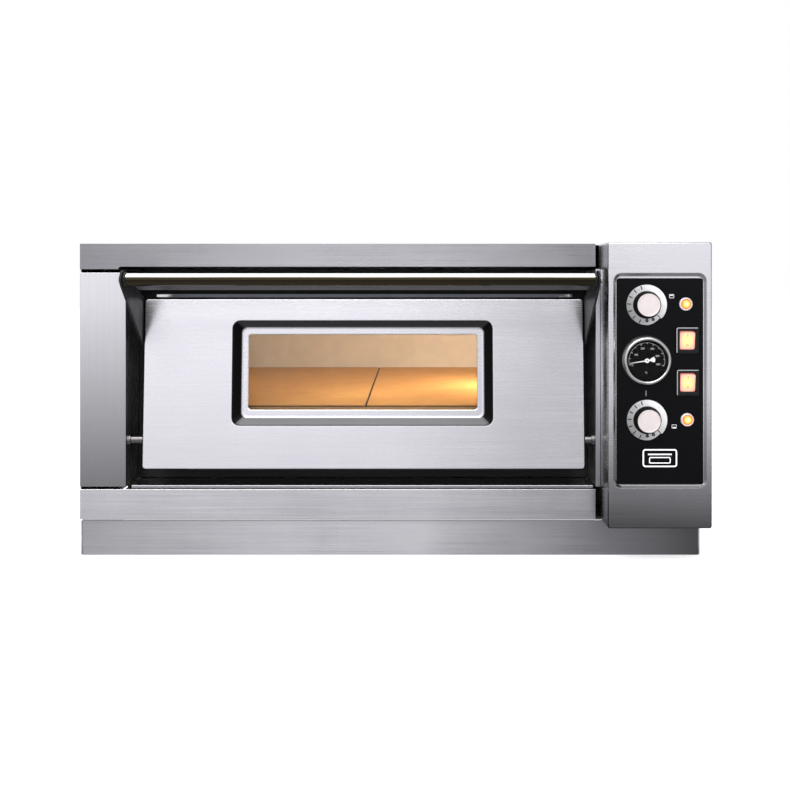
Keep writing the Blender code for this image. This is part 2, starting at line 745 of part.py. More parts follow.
def heater_route():
    """Straight legs from front to back, joined by half circles."""
    first_x = CHAMBER_LEFT + HEATER_MARGIN
    last_x = CHAMBER_RIGHT - HEATER_MARGIN
    pitch = (last_x - first_x) / (HEATER_LEGS - 1)
    bend = pitch / 2
    near = CHAMBER_FRONT + HEATER_MARGIN + bend
    far = CHAMBER_BACK - HEATER_MARGIN - bend
    points = []
    for leg in range(HEATER_LEGS):
        x = first_x + leg * pitch
        outward = leg % 2 == 0
        start, end = (near, far) if outward else (far, near)
        points += [(x, start), (x, end)]
        if leg == HEATER_LEGS - 1:
            continue
        for step in range(1, 6):
            angle = math.pi * step / 6
            along = bend * math.sin(angle) if outward else -bend * math.sin(angle)
            points.append((x + bend - bend * math.cos(angle), end + along))
    return points


def make_heater(name, height):
    curve = bpy.data.curves.new(name, "CURVE")
    curve.dimensions = "3D"
    curve.bevel_depth = HEATER_RADIUS
    curve.bevel_resolution = 2
    curve.use_fill_caps = True
    route = heater_route()
    spline = curve.splines.new("POLY")
    spline.points.add(len(route) - 1)
    for point, (x, depth) in zip(spline.points, route):
        point.co = (x, depth, height, 1)
    place(name, curve, "dark_steel")


def make_chamber_lamp(wall, insulation):
    """A lamp with a flat lens inside the chamber and its body through the right wall."""
    inwards = (0, -math.pi / 2, 0)
    location = (CHAMBER_RIGHT, LAMP_DEPTH, LAMP_HEIGHT)
    body = LAMP_HOLDER_RADIUS
    dome = 0.0065
    seat = 0.0005
    length = 0.026
    lamp = [(0, dome), (LAMP_LENS_RADIUS - 0.004, dome), (LAMP_LENS_RADIUS, dome - 0.003)]
    lamp += [(LAMP_LENS_RADIUS, seat), (body, seat), (body, -length), (0, -length)]
    turned("chamber_lamp", lamp, "glass", location, inwards)
    cutter = round_cutter("chamber_lamp_hole", body + 0.001, 0.090, location, inwards)
    cut(wall, cutter)
    cut(insulation, cutter)


def make_insulation():
    left = CHAMBER_LEFT
    right = CHAMBER_RIGHT
    front = RETURN_DEPTH + 0.002
    back = CHAMBER_BACK
    clear = SHEET + 2 * GAP
    side_top = CHAMBER_TOP + SHEET
    outer = left - WOOL_LEFT_THICKNESS
    blocks = {
        "insulation_top": ((left, front, side_top + GAP), (right, back, WOOL_TOP)),
        "insulation_floor": ((left, front, WOOL_BOTTOM), (right, back, WOOL_FLOOR_TOP)),
        "insulation_left": ((outer, front, WOOL_BOTTOM), (left - clear, back, side_top)),
    }
    for name, (low, high) in blocks.items():
        box(name, low, high, "wool")
    low = (outer, back + clear, WOOL_BOTTOM)
    high = (right, BODY_DEPTH - SHEET - 2 * GAP, WOOL_TOP)
    box("insulation_back", low, high, "wool")
    low = (right + clear, front, WOOL_BOTTOM)
    return box("insulation_right", low, (BOX_LEFT - GAP, back, side_top), "wool")


# ---------------------------------------------------------------- door

def make_door_skin():
    """A shallow tray with a pressed recess round the window."""
    outer = (DOOR_LEFT, DOOR_RIGHT, DOOR_BOTTOM, DOOR_TOP)
    soft = 0.0012
    recess = DOOR_FACE + WINDOW_RECESS
    loops = [
        rounded_loop(outer, DOOR_CORNER, DOOR_RETURN),
        rounded_loop(outer, DOOR_CORNER, DOOR_FACE + soft),
        rounded_loop(grown(outer, -soft), DOOR_CORNER, DOOR_FACE),
        rounded_loop(WINDOW_OUTER, 0.010, DOOR_FACE),
        rounded_loop(WINDOW_SLOPE, 0.006, recess),
        rounded_loop(WINDOW_OPEN, 0.003, recess),
        rounded_loop(WINDOW_OPEN, 0.003, recess + WINDOW_FOLD),
    ]
    skin = loft("door_skin", loops, "steel", DOOR)
    solidify(skin, 0.0012)
    span = DOOR_RIGHT - DOOR_LEFT
    middle = ((DOOR_LEFT + DOOR_RIGHT) / 2, 0, 0)
    sideways = (0, math.pi / 2, 0)
    cutter = round_cutter("hinge_hole", PIN_HOLE, span + 0.020, middle, sideways, DOOR)
    cut(skin, cutter)


def make_inner_panel():
    """A pan that closes the back of the door, with a folded edge round the view hole."""
    loops = [
        rounded_loop(INNER_PAN, 0.003, INNER_PAN_FRONT),
        rounded_loop(INNER_PAN, 0.003, DOOR_BACK),
        rounded_loop(INNER_WINDOW, 0.003, DOOR_BACK),
        rounded_loop(INNER_WINDOW, 0.003, INNER_WINDOW_FOLD),
    ]
    pan = loft("door_inner_panel", loops, "dark_steel", DOOR, rear=True)
    solidify(pan)


def make_door_filling():
    """The insulation inside the door and its two panes."""
    wool = grown(INNER_PAN, -0.0025)
    passage = grown(INNER_WINDOW, 0.010)
    front = 0.004
    back = DOOR_BACK - 0.0025
    frame_prism("door_insulation", wool, passage, 0.002, front, back, "wool", DOOR)
    left, right, bottom, top = grown(WINDOW_OPEN, 0.004)
    near = DOOR_FACE + WINDOW_RECESS + WINDOW_FOLD + GAP
    far = near + GLASS_THICKNESS
    box("window_glass_outer", (left, near, bottom), (right, far, top), "glass", DOOR)
    left, right, bottom, top = grown(INNER_WINDOW, 0.006)
    far = INNER_WINDOW_FOLD - 0.0005
    near = far - GLASS_THICKNESS
    box("window_glass_inner", (left, near, bottom), (right, far, top), "glass", DOOR)


def arm_outline():
    """Side view of a handle arm as (y, z): a rounded nose and two straight sides to the door."""
    nose = 0.0125
    root = -0.0015
    root_bottom = 0.1380
    root_top = 0.2020
    start = 62
    sweep = 172
    steps = 8
    points = [(root, root_bottom), (root, root_top)]
    for step in range(steps + 1):
        angle = math.radians(start + sweep * step / steps)
        points.append((BAR_Y + nose * math.cos(angle), BAR_Z + nose * math.sin(angle)))
    points.append((DOOR_FACE, root_bottom))
    return points


def make_handle():
    gap = 0.0005
    left = DOOR_LEFT - gap - ARM_THICKNESS / 2
    right = DOOR_RIGHT + gap + ARM_THICKNESS / 2
    extrusion("handle_arm_left", arm_outline(), (left, 0, 0), ARM_THICKNESS, "X", "dark_steel", DOOR)
    extrusion("handle_arm_right", arm_outline(), (right, 0, 0), ARM_THICKNESS, "X", "dark_steel",
              DOOR)
    middle = ((DOOR_LEFT + DOOR_RIGHT) / 2, BAR_Y, BAR_Z)
    half = (DOOR_RIGHT - DOOR_LEFT) / 2
    edge = BAR_RADIUS - 0.001
    bar = [(0, half), (edge, half), (BAR_RADIUS, half - 0.001), (BAR_RADIUS, 0.001 - half)]
    bar += [(edge, -half), (0, -half)]
    turned("handle_bar", bar, "polished", middle, (0, math.pi / 2, 0), DOOR, steps=28)


def make_hinge_pins():
    """A collar against the side of the recess and a journal that enters the door."""
    sides = {
        "left": (PILLAR_RIGHT + GAP, DOOR_LEFT, math.pi / 2),
        "right": (FASCIA_RIGHT - GAP, DOOR_RIGHT, -math.pi / 2),
    }
    for name, (wall, door_side, turn) in sides.items():
        reach = abs(door_side - wall)
        neck = reach - 0.0010
        tip = reach + 0.0080
        collar = min(0.0045, reach * 0.35)
        shank = PIN_RADIUS + 0.0020
        flange = PIN_RADIUS + 0.0045
        pin = [(0, tip), (PIN_RADIUS, tip), (PIN_RADIUS, neck), (shank, neck), (shank, collar)]
        pin += [(flange, collar), (flange, 0), (0, 0)]
        location = (wall, HINGE_DEPTH, HINGE_HEIGHT)
        turned("hinge_pin_" + name, pin, "polished", location, (0, turn, 0), steps=24)


def make_oven():
    make_plinth()
    make_front_sheets()
    make_top_fascia()
    make_covers()
    make_cable_gland()
    shell = make_control_box()
    overlay = make_overlay()
    cut_panel_openings(shell, overlay)
    make_knobs()
    make_thermostats()
    make_thermometer()
    make_pilot_lamps()
    make_switches()
    make_mouth_frame()
    wall = make_chamber()
    make_heater("ceiling_heater", CHAMBER_TOP - 0.010)
    make_heater("floor_heater", TRAY_BOTTOM - 0.010)
    insulation = make_insulation()
    make_chamber_lamp(wall, insulation)
    make_door_skin()
    make_inner_panel()
    make_door_filling()
    make_handle()
    make_hinge_pins()


make_oven()
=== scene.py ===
"""Looks for the deck oven: studio, procedural materials and detailed pieces on the CAD frame."""
import json
import math

import bmesh
import bpy
from mathutils import Matrix, Vector


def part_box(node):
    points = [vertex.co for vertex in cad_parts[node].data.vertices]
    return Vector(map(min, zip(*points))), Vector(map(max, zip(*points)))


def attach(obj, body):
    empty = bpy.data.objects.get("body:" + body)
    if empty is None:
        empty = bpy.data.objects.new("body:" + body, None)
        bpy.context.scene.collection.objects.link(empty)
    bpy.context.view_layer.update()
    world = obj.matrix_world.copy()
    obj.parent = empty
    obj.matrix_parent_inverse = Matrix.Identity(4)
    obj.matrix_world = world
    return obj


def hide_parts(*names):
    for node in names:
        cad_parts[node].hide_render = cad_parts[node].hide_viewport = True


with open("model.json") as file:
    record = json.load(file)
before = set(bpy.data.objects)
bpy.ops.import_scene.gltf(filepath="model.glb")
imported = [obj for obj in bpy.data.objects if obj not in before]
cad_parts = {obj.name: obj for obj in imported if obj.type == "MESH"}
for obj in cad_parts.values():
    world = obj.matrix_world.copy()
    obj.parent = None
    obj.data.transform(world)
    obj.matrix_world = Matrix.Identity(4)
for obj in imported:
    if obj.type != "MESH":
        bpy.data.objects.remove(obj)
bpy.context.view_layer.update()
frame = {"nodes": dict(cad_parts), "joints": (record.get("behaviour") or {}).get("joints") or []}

NODES = frame["nodes"]
HINGE = Vector(next(j["pos_m"] for j in frame["joints"] if j["name"] == "door_hinge"))
FASCIA_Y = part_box("lower_fascia")[0].y
PANEL_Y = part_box("control_overlay")[0].y
FACING = Matrix.Rotation(math.pi / 2, 4, "X")
SIDEWAYS = Matrix.Rotation(math.pi / 2, 4, "Y")
LEAN = Matrix.Rotation(math.radians(-3.5), 4, "X")
DOOR_FRAME = Matrix.Translation((0, HINGE.y, HINGE.z)) @ LEAN
DOOR_PLANE = DOOR_FRAME @ FACING
FRONT_PLANE = Matrix.Translation((0, FASCIA_Y, 0)) @ FACING
PANEL_PLANE = Matrix.Translation((0, PANEL_Y, 0)) @ FACING
HERE = Matrix.Identity(4)

WORLD_HEIGHT_LEVELS = (
    (-1.0, 0.50), (-0.6, 0.45), (-0.35, 0.22), (-0.22, 0.34), (-0.10, 0.68), (0.02, 0.92),
    (0.20, 0.95), (0.45, 0.90), (1.0, 0.85),
)
WORLD_SIDE_LEVELS = (
    (-1.0, 0.25), (-0.75, 0.80), (-0.5, 0.95), (-0.35, 0.98), (-0.1, 1.0), (0.03, 0.95),
    (0.13, 0.72), (0.20, 0.58), (0.235, 1.0), (0.40, 1.0), (0.6, 0.50), (0.8, 0.35), (1.0, 0.12),
)
WORLD_REAR_SHARE = ((-1.0, 0.0), (0.05, 0.0), (0.90, 1.0), (1.0, 1.0))
REAR_GREY = (0.60, 0.60, 0.62)
MATERIALS = {}


# --------------------------------------------------------------- node trees

class Tree:
    """A node tree with short ways to add, join and mix nodes."""

    def __init__(self, owner):
        owner.use_nodes = True
        self.tree = owner.node_tree

    def add(self, kind, **values):
        node = self.tree.nodes.new("ShaderNode" + kind)
        for key, value in values.items():
            setattr(node, key, value)
        return node

    def feed(self, value, socket):
        """A link from another socket, or else a fixed number, vector or colour."""
        if hasattr(value, "is_linked"):
            self.tree.links.new(value, socket)
        elif socket.type == "RGBA":
            socket.default_value = (*value, 1)
        else:
            socket.default_value = value

    def math(self, operation, first, second=None):
        node = self.add("Math", operation=operation)
        self.feed(first, node.inputs[0])
        if second is not None:
            self.feed(second, node.inputs[1])
        return node.outputs[0]

    def mix(self, factor, first, second, blend="MIX"):
        node = self.add("Mix", data_type="RGBA", blend_type=blend)
        for value, name in ((factor, "Factor"), (first, "A"), (second, "B")):
            self.feed(value, node.inputs[name])
        return node.outputs["Result"]

    def ramp(self, source, low, high, start=0.3, end=0.7):
        """The source spread from one value to another."""
        spread = self.add("MapRange")
        values = {"Value": source, "From Min": start, "From Max": end, "To Min": low, "To Max": high}
        for name, value in values.items():
            self.feed(value, spread.inputs[name])
        return spread.outputs["Result"]

    def colour_stops(self, source, stops):
        ramp = self.add("ValToRGB")
        points = ramp.color_ramp.elements
        points.remove(points[0])
        for place, colour in stops:
            points.new(place).color = (*colour, 1)
        self.feed(source, ramp.inputs["Fac"])
        return ramp.outputs["Color"]


# ------------------------------------------------------------------ studio

def add_to_scene(name, data, location=(0, 0, 0)):
    thing = bpy.data.objects.new(name, data)
    thing.location = location
    bpy.context.scene.collection.objects.link(thing)
    return thing


def add_camera():
    lens = bpy.data.cameras.new("camera")
    lens.lens = 41.1
    lens.sensor_width = 36.0
    lens.shift_x = -0.019
    lens.shift_y = -0.141
    camera = add_to_scene("camera", lens, (0.0284, FASCIA_Y - 1.30, 0.3924))
    camera.rotation_euler = (math.pi / 2, 0, 0)
    bpy.context.scene.camera = camera


def add_area(name, location, target, size, radiance, colour=(1, 1, 1)):
    """A soft box that faces a point; its power follows from its area."""
    light = bpy.data.lights.new(name, "AREA")
    light.shape = "RECTANGLE"
    light.size, light.size_y = size
    light.energy = radiance * math.pi * size[0] * size[1]
    light.color = colour
    lamp = add_to_scene(name, light, location)
    lamp.rotation_euler = (Vector(target) - Vector(location)).to_track_quat("-Z", "Y").to_euler()
    return lamp


def add_chamber_light():
    """The warm bulb by the lens on the chamber's right wall, and what the walls give back."""
    warm = (1.0, 0.92, 0.78)
    spots = {"chamber_glow": ((0.215, 0.0, 0.290), 1.5, 0.03),
             "chamber_fill": ((-0.05, -0.12, 0.300), 0.5, 0.10)}
    for name, (location, power, radius) in spots.items():
        light = bpy.data.lights.new(name, "POINT")
        light.energy = power
        light.color = warm
        light.shadow_soft_size = radius
        add_to_scene(name, light, location)
    across = -0.04
    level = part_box("ceiling_heater")[0].z - 0.004
    ceiling = add_area("ceiling_glow", (across, 0.05, level), (across, 0.05, 0), (0.52, 0.48), 0.36,
                       warm)
    spill = add_area("mouth_spill", (across, FASCIA_Y + 0.040, 0.250),
                     (across, FASCIA_Y + 0.062, 0.205), (0.33, 0.02), 9.0, warm)
    for lamp in (ceiling, spill):
        lamp.visible_camera = False
        lamp.visible_glossy = False


def world_levels(tree, source, stops):
    """Grey levels by one component of the direction, from -1 to 1."""
    greys = [((place + 1) / 2, (level, level, level * 1.03)) for place, level in stops]
    return tree.colour_stops(tree.ramp(source, 0.0, 1.0, -1.0, 1.0), greys)


def add_world():
    """White to the camera; to everything else a room with a bright band above eye level.

    The half behind the oven is evenly light.
    """
    world = bpy.data.worlds.new("studio")
    tree = Tree(world)
    tree.tree.nodes.clear()
    split = tree.add("SeparateXYZ")
    tree.feed(tree.add("TexCoord").outputs["Generated"], split.inputs[0])
    side, depth, height = split.outputs
    front = tree.mix(1.0, world_levels(tree, height, WORLD_HEIGHT_LEVELS),
                     world_levels(tree, side, WORLD_SIDE_LEVELS), "MULTIPLY")
    room = tree.add("Background")
    tree.feed(tree.mix(world_levels(tree, depth, WORLD_REAR_SHARE), front, REAR_GREY),
              room.inputs["Color"])
    white = tree.add("Background")
    tree.feed((1, 1, 1), white.inputs["Color"])
    choice = tree.add("MixShader")
    tree.feed(tree.add("LightPath").outputs["Is Camera Ray"], choice.inputs[0])
    tree.feed(room.outputs[0], choice.inputs[1])
    tree.feed(white.outputs[0], choice.inputs[2])
    tree.feed(choice.outputs[0], tree.add("OutputWorld").inputs["Surface"])
    bpy.context.scene.world = world


def add_floor():
    mesh = bpy.data.meshes.new("floor")
    shape = bmesh.new()
    bmesh.ops.create_grid(shape, x_segments=1, y_segments=1, size=12.0)
    shape.to_mesh(mesh)
    shape.free()
    mesh.materials.append(MATERIALS["floor"])
    floor = add_to_scene("floor", mesh, (0, 0, -0.0005))
    floor.visible_glossy = False


# --------------------------------------------------------------- materials

class Finish(Tree):
    """A material's node tree, kept in MATERIALS under its key."""

    def __init__(self, key):
        self.material = bpy.data.materials.new(key)
        MATERIALS[key] = self.material
        super().__init__(self.material)
        self.shader = self.tree.nodes["Principled BSDF"]

    def mapped(self, scale):
        """The piece's own coordinates, stretched along each axis."""
        mapping = self.add("Mapping")
        mapping.inputs["Scale"].default_value = scale
        self.feed(self.add("TexCoord").outputs["Object"], mapping.inputs["Vector"])
        return mapping.outputs["Vector"]

    def position(self):
        """The piece's own x, y and z."""
        split = self.add("SeparateXYZ")
        self.feed(self.add("TexCoord").outputs["Object"], split.inputs[0])
        return split.outputs

    def noise(self, scale, size=1.0, detail=3.0, rough=0.5):
        texture = self.add("TexNoise")
        values = {"Vector": self.mapped(scale), "Scale": size, "Detail": detail, "Roughness": rough}
        for name, value in values.items():
            self.feed(value, texture.inputs[name])
        return texture.outputs["Fac"]

    def beyond(self, source, first, last):
        """How far a coordinate lies outside a span; negative inside it."""
        offset = self.math("ABSOLUTE", self.math("SUBTRACT", source, (first + last) / 2))
        return self.math("SUBTRACT", offset, (last - first) / 2)

    def painted_recess_shade(self, colour, rect, low, high, tones):
        """The colour, darkened on a pressed slope that lies between two levels of z: painted shade
        and painted dark reflection on the recess walls.

        `tones` are for the upper wall, the side walls and the lower wall round `rect`.
        """
        x, y, z = self.position()
        upper, side, lower = [(tone, tone, tone) for tone in tones]
        ends = self.mix(self.math("LESS_THAN", y, (rect[2] + rect[3]) / 2), upper, lower)
        beside = self.math("GREATER_THAN", self.beyond(x, *rect[:2]), self.beyond(y, *rect[2:]))
        soft = 0.12
        none = (0.0, 0.0, 0.0)
        full = (1.0, 1.0, 1.0)
        stops = ((0.0, none), (soft, full), (1 - soft, full), (1.0, none))
        slope = self.colour_stops(self.ramp(z, 0.0, 1.0, low, high), stops)
        return self.mix(slope, colour, self.mix(beside, ends, side), "MULTIPLY")

    def painted_shade(self, colour, axis, low, high, tone):
        """The colour, multiplied by a tone at one end of a span and left alone at the other: painted
        shade that darkens the surface towards one end.
        """
        share = self.ramp(self.position()[axis], 1.0, 0.0, low, high)
        return self.mix(share, colour, (tone, tone, tone), "MULTIPLY")

    def set(self, **values):
        for key, value in values.items():
            self.feed(value, self.shader.inputs[key.replace("_", " ")])

    def bump(self, height, strength, distance):
        node = self.add("Bump")
        for name, value in (("Strength", strength), ("Distance", distance), ("Height", height)):
            self.feed(value, node.inputs[name])
        self.set(Normal=node.outputs["Normal"])


def scaled(colour, factor):
    return tuple(min(1.0, channel * factor) for channel in colour)


def floor_paper(key):
    """Pale studio paper that is bright enough to melt into the backdrop."""
    finish = Finish(key)
    fibre = finish.noise((1, 1, 1), 60.0, 4.0)
    pale = (0.90, 0.90, 0.90)
    tint = finish.mix(finish.ramp(fibre, 0, 1), scaled(pale, 0.98), scaled(pale, 1.02))
    finish.set(Base_Color=tint, Roughness=finish.ramp(fibre, 0.85, 0.95))
    finish.set(Emission_Color=(1, 1, 1), Emission_Strength=0.55)
    finish.bump(fibre, 0.05, 0.0005)


def plain(key, colour, roughness, metallic=0.0, variation=0.06, size=40.0, bump=0.05,
          specular=0.5, painted_shade=()):
    """A moulded or painted surface: mottled colour, uneven gloss and a fine grain."""
    finish = Finish(key)
    cloud = finish.noise((1, 1, 1), size, 4.0)
    grain = finish.noise((1, 1, 1), size * 40, 2.0)
    tint = finish.mix(
        finish.ramp(cloud, 0, 1), scaled(colour, 1 - variation), scaled(colour, 1 + variation))
    # Each shade entry is painted shade: the colour darkens towards one end of a span.
    for film in painted_shade:
        tint = finish.painted_shade(tint, *film)
    gloss = finish.ramp(cloud, max(0.02, roughness * 0.85), min(1.0, roughness * 1.15))
    finish.set(Base_Color=tint, Roughness=gloss, Metallic=metallic, Specular_IOR_Level=specular)
    finish.bump(grain, bump, 0.0002)


def grain_scale(across, along, axis):
    return tuple(along if name == axis else across for name in "XYZ")


def brushed(key, colour, roughness, grain="X", contrast=0.07, recess=None, painted_shade=()):
    """Sheet steel with fine brushed lines along one axis, faint smears and uneven gloss.

    `recess` paints shade on the walls of a pressed recess; each shade entry is (axis, start, end,
    tone), painted shade that greys the sheet towards the start. The tangent lies square to the grain
    on every face that the grain runs along.
    """
    finish = Finish(key)
    lines = finish.noise(grain_scale(900.0, 5.0, grain), 1.0, 4.0, 0.6)
    bands = finish.noise(grain_scale(110.0, 1.5, grain), 1.0, 3.0, 0.6)
    cloud = finish.noise((1, 1, 1), 6.0, 4.0, 0.6)
    marks = finish.math("ADD", finish.ramp(lines, 0.0, 0.55, 0.2, 0.8), finish.ramp(bands, 0.0, 0.25))
    marks = finish.math("ADD", marks, finish.ramp(cloud, 0.0, 0.20))
    tint = finish.mix(marks, scaled(colour, 1 - contrast), scaled(colour, 1 + contrast))
    gloss = finish.math("ADD", finish.ramp(lines, roughness - 0.04, roughness + 0.05),
                        finish.ramp(cloud, -0.03, 0.03))
    # Painted shade: the walls of a pressed recess are darkened in the colour.
    if recess:
        tint = finish.painted_recess_shade(tint, *recess)
    # Each shade entry is painted shade: the colour darkens towards one end of a span.
    for film in painted_shade:
        tint = finish.painted_shade(tint, *film)
    finish.set(Base_Color=tint, Roughness=gloss, Metallic=1.0, Anisotropic=0.75)
    finish.set(Tangent=finish.add("Tangent", direction_type="RADIAL", axis=grain).outputs[0])
    finish.bump(lines, 0.04, 0.0002)


def tube_steel(key, height, radius):
    """A polished tube with a painted reflection: its upper part painted bright as a highlight, the
    rest painted dark as a dark reflection.
    """
    finish = Finish(key)
    unevenness = finish.noise((0.2, 1, 1), 30.0, 3.0)
    rise = finish.ramp(finish.position()["Y"], 0.0, 1.0, height - radius, height + radius)
    rise = finish.math("ADD", rise, finish.ramp(unevenness, -0.015, 0.015))
    painted_dark_reflection = (0.060, 0.050, 0.030)
    # Painted highlight on the upper part of the tube; painted dark reflection on the part below it.
    bright = (0.95, 0.93, 0.91)
    tint = finish.colour_stops(rise, ((0.0, painted_dark_reflection), (0.66, painted_dark_reflection), (0.72, bright), (1.0, bright)))
    finish.set(Base_Color=tint, Roughness=finish.ramp(unevenness, 0.10, 0.16), Metallic=1.0)


def clear_glass(key, tint, index=1.35):
    """A thin pane: mostly see-through, with a Fresnel sheen and a few smudges."""
    finish = Finish(key)
    finish.tree.nodes.remove(finish.shader)
    through = finish.add("BsdfTransparent")
    finish.feed(tint, through.inputs["Color"])
    gloss = finish.add("BsdfGlossy")
    smudge = finish.noise((1, 1, 1), 9.0, 4.0)
    finish.feed(finish.ramp(smudge, 0.02, 0.07), gloss.inputs["Roughness"])
    fresnel = finish.add("Fresnel")
    fresnel.inputs["IOR"].default_value = index
    mix = finish.add("MixShader")
    for source, socket in zip((fresnel, through, gloss), mix.inputs):
        finish.feed(source.outputs[0], socket)
    finish.feed(mix.outputs[0], finish.tree.nodes["Material Output"].inputs["Surface"])


def glowing(key, reach, stops, strength, roughness=0.25):
    """Lit translucent plastic: a hot core that fades outwards from the piece's own middle.

    It has faded fully at the distances `reach` along x, y and z.
    """
    finish = Finish(key)
    fade = finish.add("TexGradient", gradient_type="SPHERICAL")
    finish.feed(finish.mapped(tuple(1 / r for r in reach)), fade.inputs["Vector"])
    glow = finish.colour_stops(fade.outputs["Fac"], stops)
    cloud = finish.noise((1, 1, 1), 300.0, 2.0)
    finish.set(Base_Color=glow, Roughness=finish.ramp(cloud, roughness * 0.8, roughness * 1.2))
    finish.set(Emission_Color=glow, Emission_Strength=strength)


# ------------------------------------------------------------------ shapes

HOLD = 0.0006


def rounded_loop(rect, radius, level, steps=5):
    """Points round a rectangle (x0, x1, y0, y1) at one level, anticlockwise."""
    left, right, bottom, top = grown(rect, -radius)
    loop = []
    for x, y, first in ((right, bottom, -90), (right, top, 0), (left, top, 90), (left, bottom, 180)):
        for step in range(steps + 1):
            angle = math.radians(first + 90 * step / steps)
            loop.append((x + radius * math.cos(angle), y + radius * math.sin(angle), level))
    return loop


def grown(rect, amount):
    left, right, bottom, top = rect
    return (left - amount, right + amount, bottom - amount, top + amount)


def between(first, second, part):
    return tuple(a + (b - a) * part for a, b in zip(first, second))


def centred(x, y, width, height):
    return (x - width / 2, x + width / 2, y - height / 2, y + height / 2)


def contour(rect, *steps):
    """Loops round a rectangle; each step is (growth, corner radius, level)."""
    return [rounded_loop(grown(rect, growth), corner, level) for growth, corner, level in steps]


def rolled_edge(rect, corner, face, radius, steps=4):
    """Loops that turn from the side of a sheet on to its face.

    One more loop, HOLD further in, keeps the face's shading flat.
    """
    loops = []
    for step in range(steps + 1):
        angle = math.pi / 2 * step / steps
        inset = radius * (1 - math.cos(angle))
        level = face - radius * (1 - math.sin(angle))
        loops.append(rounded_loop(grown(rect, -inset), corner, level))
    loops.append(rounded_loop(grown(rect, -radius - HOLD), corner, face))
    return loops


def pressed_slope(outer, inner, corners, high, low):
    """Loops down a pressed slope that is rounded at the brow and at the foot."""
    profile = ((0, 0), (0.10, 0.03), (0.24, 0.16), (0.76, 0.84), (0.90, 0.97), (1, 1))
    loops = [rounded_loop(grown(outer, HOLD), corners[0], high)]
    for part, fall in profile:
        corner = corners[0] + (corners[1] - corners[0]) * part
        loops.append(rounded_loop(between(outer, inner, part), corner, high + (low - high) * fall))
    return loops + [rounded_loop(grown(inner, -HOLD), corners[1], low)]


def circle(radius, level, steps=48, lobes=0, depth=0.0):
    """Points round a circle; with lobes, the radius dips by `depth` between them."""
    points = []
    for step in range(steps):
        angle = 2 * math.pi * step / steps
        reach = radius - depth * (0.5 - 0.5 * math.cos(lobes * angle)) if lobes else radius
        points.append((reach * math.cos(angle), reach * math.sin(angle), level))
    return points


def polar(radius, degrees):
    """A point at an angle anticlockwise from the top."""
    angle = math.radians(degrees)
    return (-radius * math.sin(angle), radius * math.cos(angle))


def moved(x, y, z=0.0):
    return Matrix.Translation((x, y, z))


class Shape:
    """A mesh in the making: x to the right, y up and z towards the viewer."""

    def __init__(self):
        self.mesh = bmesh.new()

    def loft(self, loops, ring=False, at=HERE):
        """Loops of equal length joined by quads; the ends are capped unless it is a ring."""
        rows = [[self.mesh.verts.new(at @ Vector(point)) for point in loop] for loop in loops]
        pairs = list(zip(rows, rows[1:]))
        if ring:
            pairs.append((rows[-1], rows[0]))
        else:
            self.mesh.faces.new(rows[0][::-1])
            self.mesh.faces.new(rows[-1])
        for outer, inner in pairs:
            for index in range(len(outer)):
                after = (index + 1) % len(outer)
                self.mesh.faces.new((outer[index], outer[after], inner[after], inner[index]))
        return self

    def lathe(self, profile, steps=48, ring=False, at=HERE):
        """A profile of (radius, height) points spun about z."""
        return self.loft([circle(r, height, steps) for r, height in profile], ring, at)

    def prism(self, outline, low, high, at=HERE):
        return self.loft([[(x, y, level) for x, y in outline] for level in (low, high)], at=at)

    def block(self, rect, low, high, at=HERE):
        left, right, bottom, top = rect
        return self.prism([(left, bottom), (right, bottom), (right, top), (left, top)], low, high, at)

    def bar(self, start, end, width, low, high):
        """A straight stroke between two points of the drawing plane."""
        start = Vector(start)
        end = Vector(end)
        side = (end - start).orthogonal().normalized() * width / 2
        return self.prism([start + side, start - side, end - side, end + side], low, high)

    def arc(self, radius, width, first, last, low, high, steps=40):
        """Part of a flat ring, between two angles anticlockwise from the top."""
        angles = [first + (last - first) * step / steps for step in range(steps + 1)]
        outline = [polar(radius + width / 2, angle) for angle in angles]
        outline += [polar(radius - width / 2, angle) for angle in reversed(angles)]
        return self.prism(outline, low, high)

    def text(self, words, size, centre, low, high, turn=0.0):
        curve = bpy.data.curves.new("figures", "FONT")
        curve.body = words
        curve.size = size
        curve.align_x = "CENTER"
        curve.align_y = "CENTER"
        curve.extrude = (high - low) / 2
        curve.resolution_u = 3
        carrier = add_to_scene("figures", curve)
        bpy.context.view_layer.update()
        graph = bpy.context.evaluated_depsgraph_get()
        mesh = bpy.data.meshes.new_from_object(carrier.evaluated_get(graph))
        bpy.data.objects.remove(carrier, do_unlink=True)
        welded = bmesh.new()
        welded.from_mesh(mesh)
        bmesh.ops.remove_doubles(welded, verts=welded.verts, dist=0.000005)
        welded.to_mesh(mesh)
        welded.free()
        mesh.transform(
            moved(*centre, (low + high) / 2) @ Matrix.Rotation(math.radians(turn), 4, "Z"))
        self.mesh.from_mesh(mesh)
        return self

    def piece(self, name, finish, slot, stands_for=None, matrix=HERE, smooth=32, body="casing"):
        """The finished piece, riding on its CAD body; it may stand for a CAD node."""
        bmesh.ops.recalc_face_normals(self.mesh, faces=self.mesh.faces)
        data = bpy.data.meshes.new(name)
        self.mesh.to_mesh(data)
        self.mesh.free()
        data.shade_smooth()
        data.set_sharp_from_angle(angle=math.radians(smooth))
        data.materials.append(MATERIALS[finish])
        thing = add_to_scene(name, data)
        thing.matrix_world = matrix
        bpy.context.view_layer.update()
        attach(thing, body)
        if stands_for:
            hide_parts(stands_for)
        return thing


def on_panel(centre):
    """The drawing plane on the control panel's film, about a point (x, z)."""
    return Matrix.Translation((centre[0], PANEL_Y, centre[1])) @ FACING


def soften(thing, width):
    """A bevel on the sharp edges, so that they catch the light."""
    bevel = thing.modifiers.new("edges", "BEVEL")
    bevel.width = width
    bevel.segments = 2
    bevel.limit_method = "ANGLE"
    bevel.angle_limit = math.radians(30)
    bevel.harden_normals = True
    thing.modifiers.new("normals", "WEIGHTED_NORMAL").keep_sharp = True


# -------------------------------------------------------------------- door

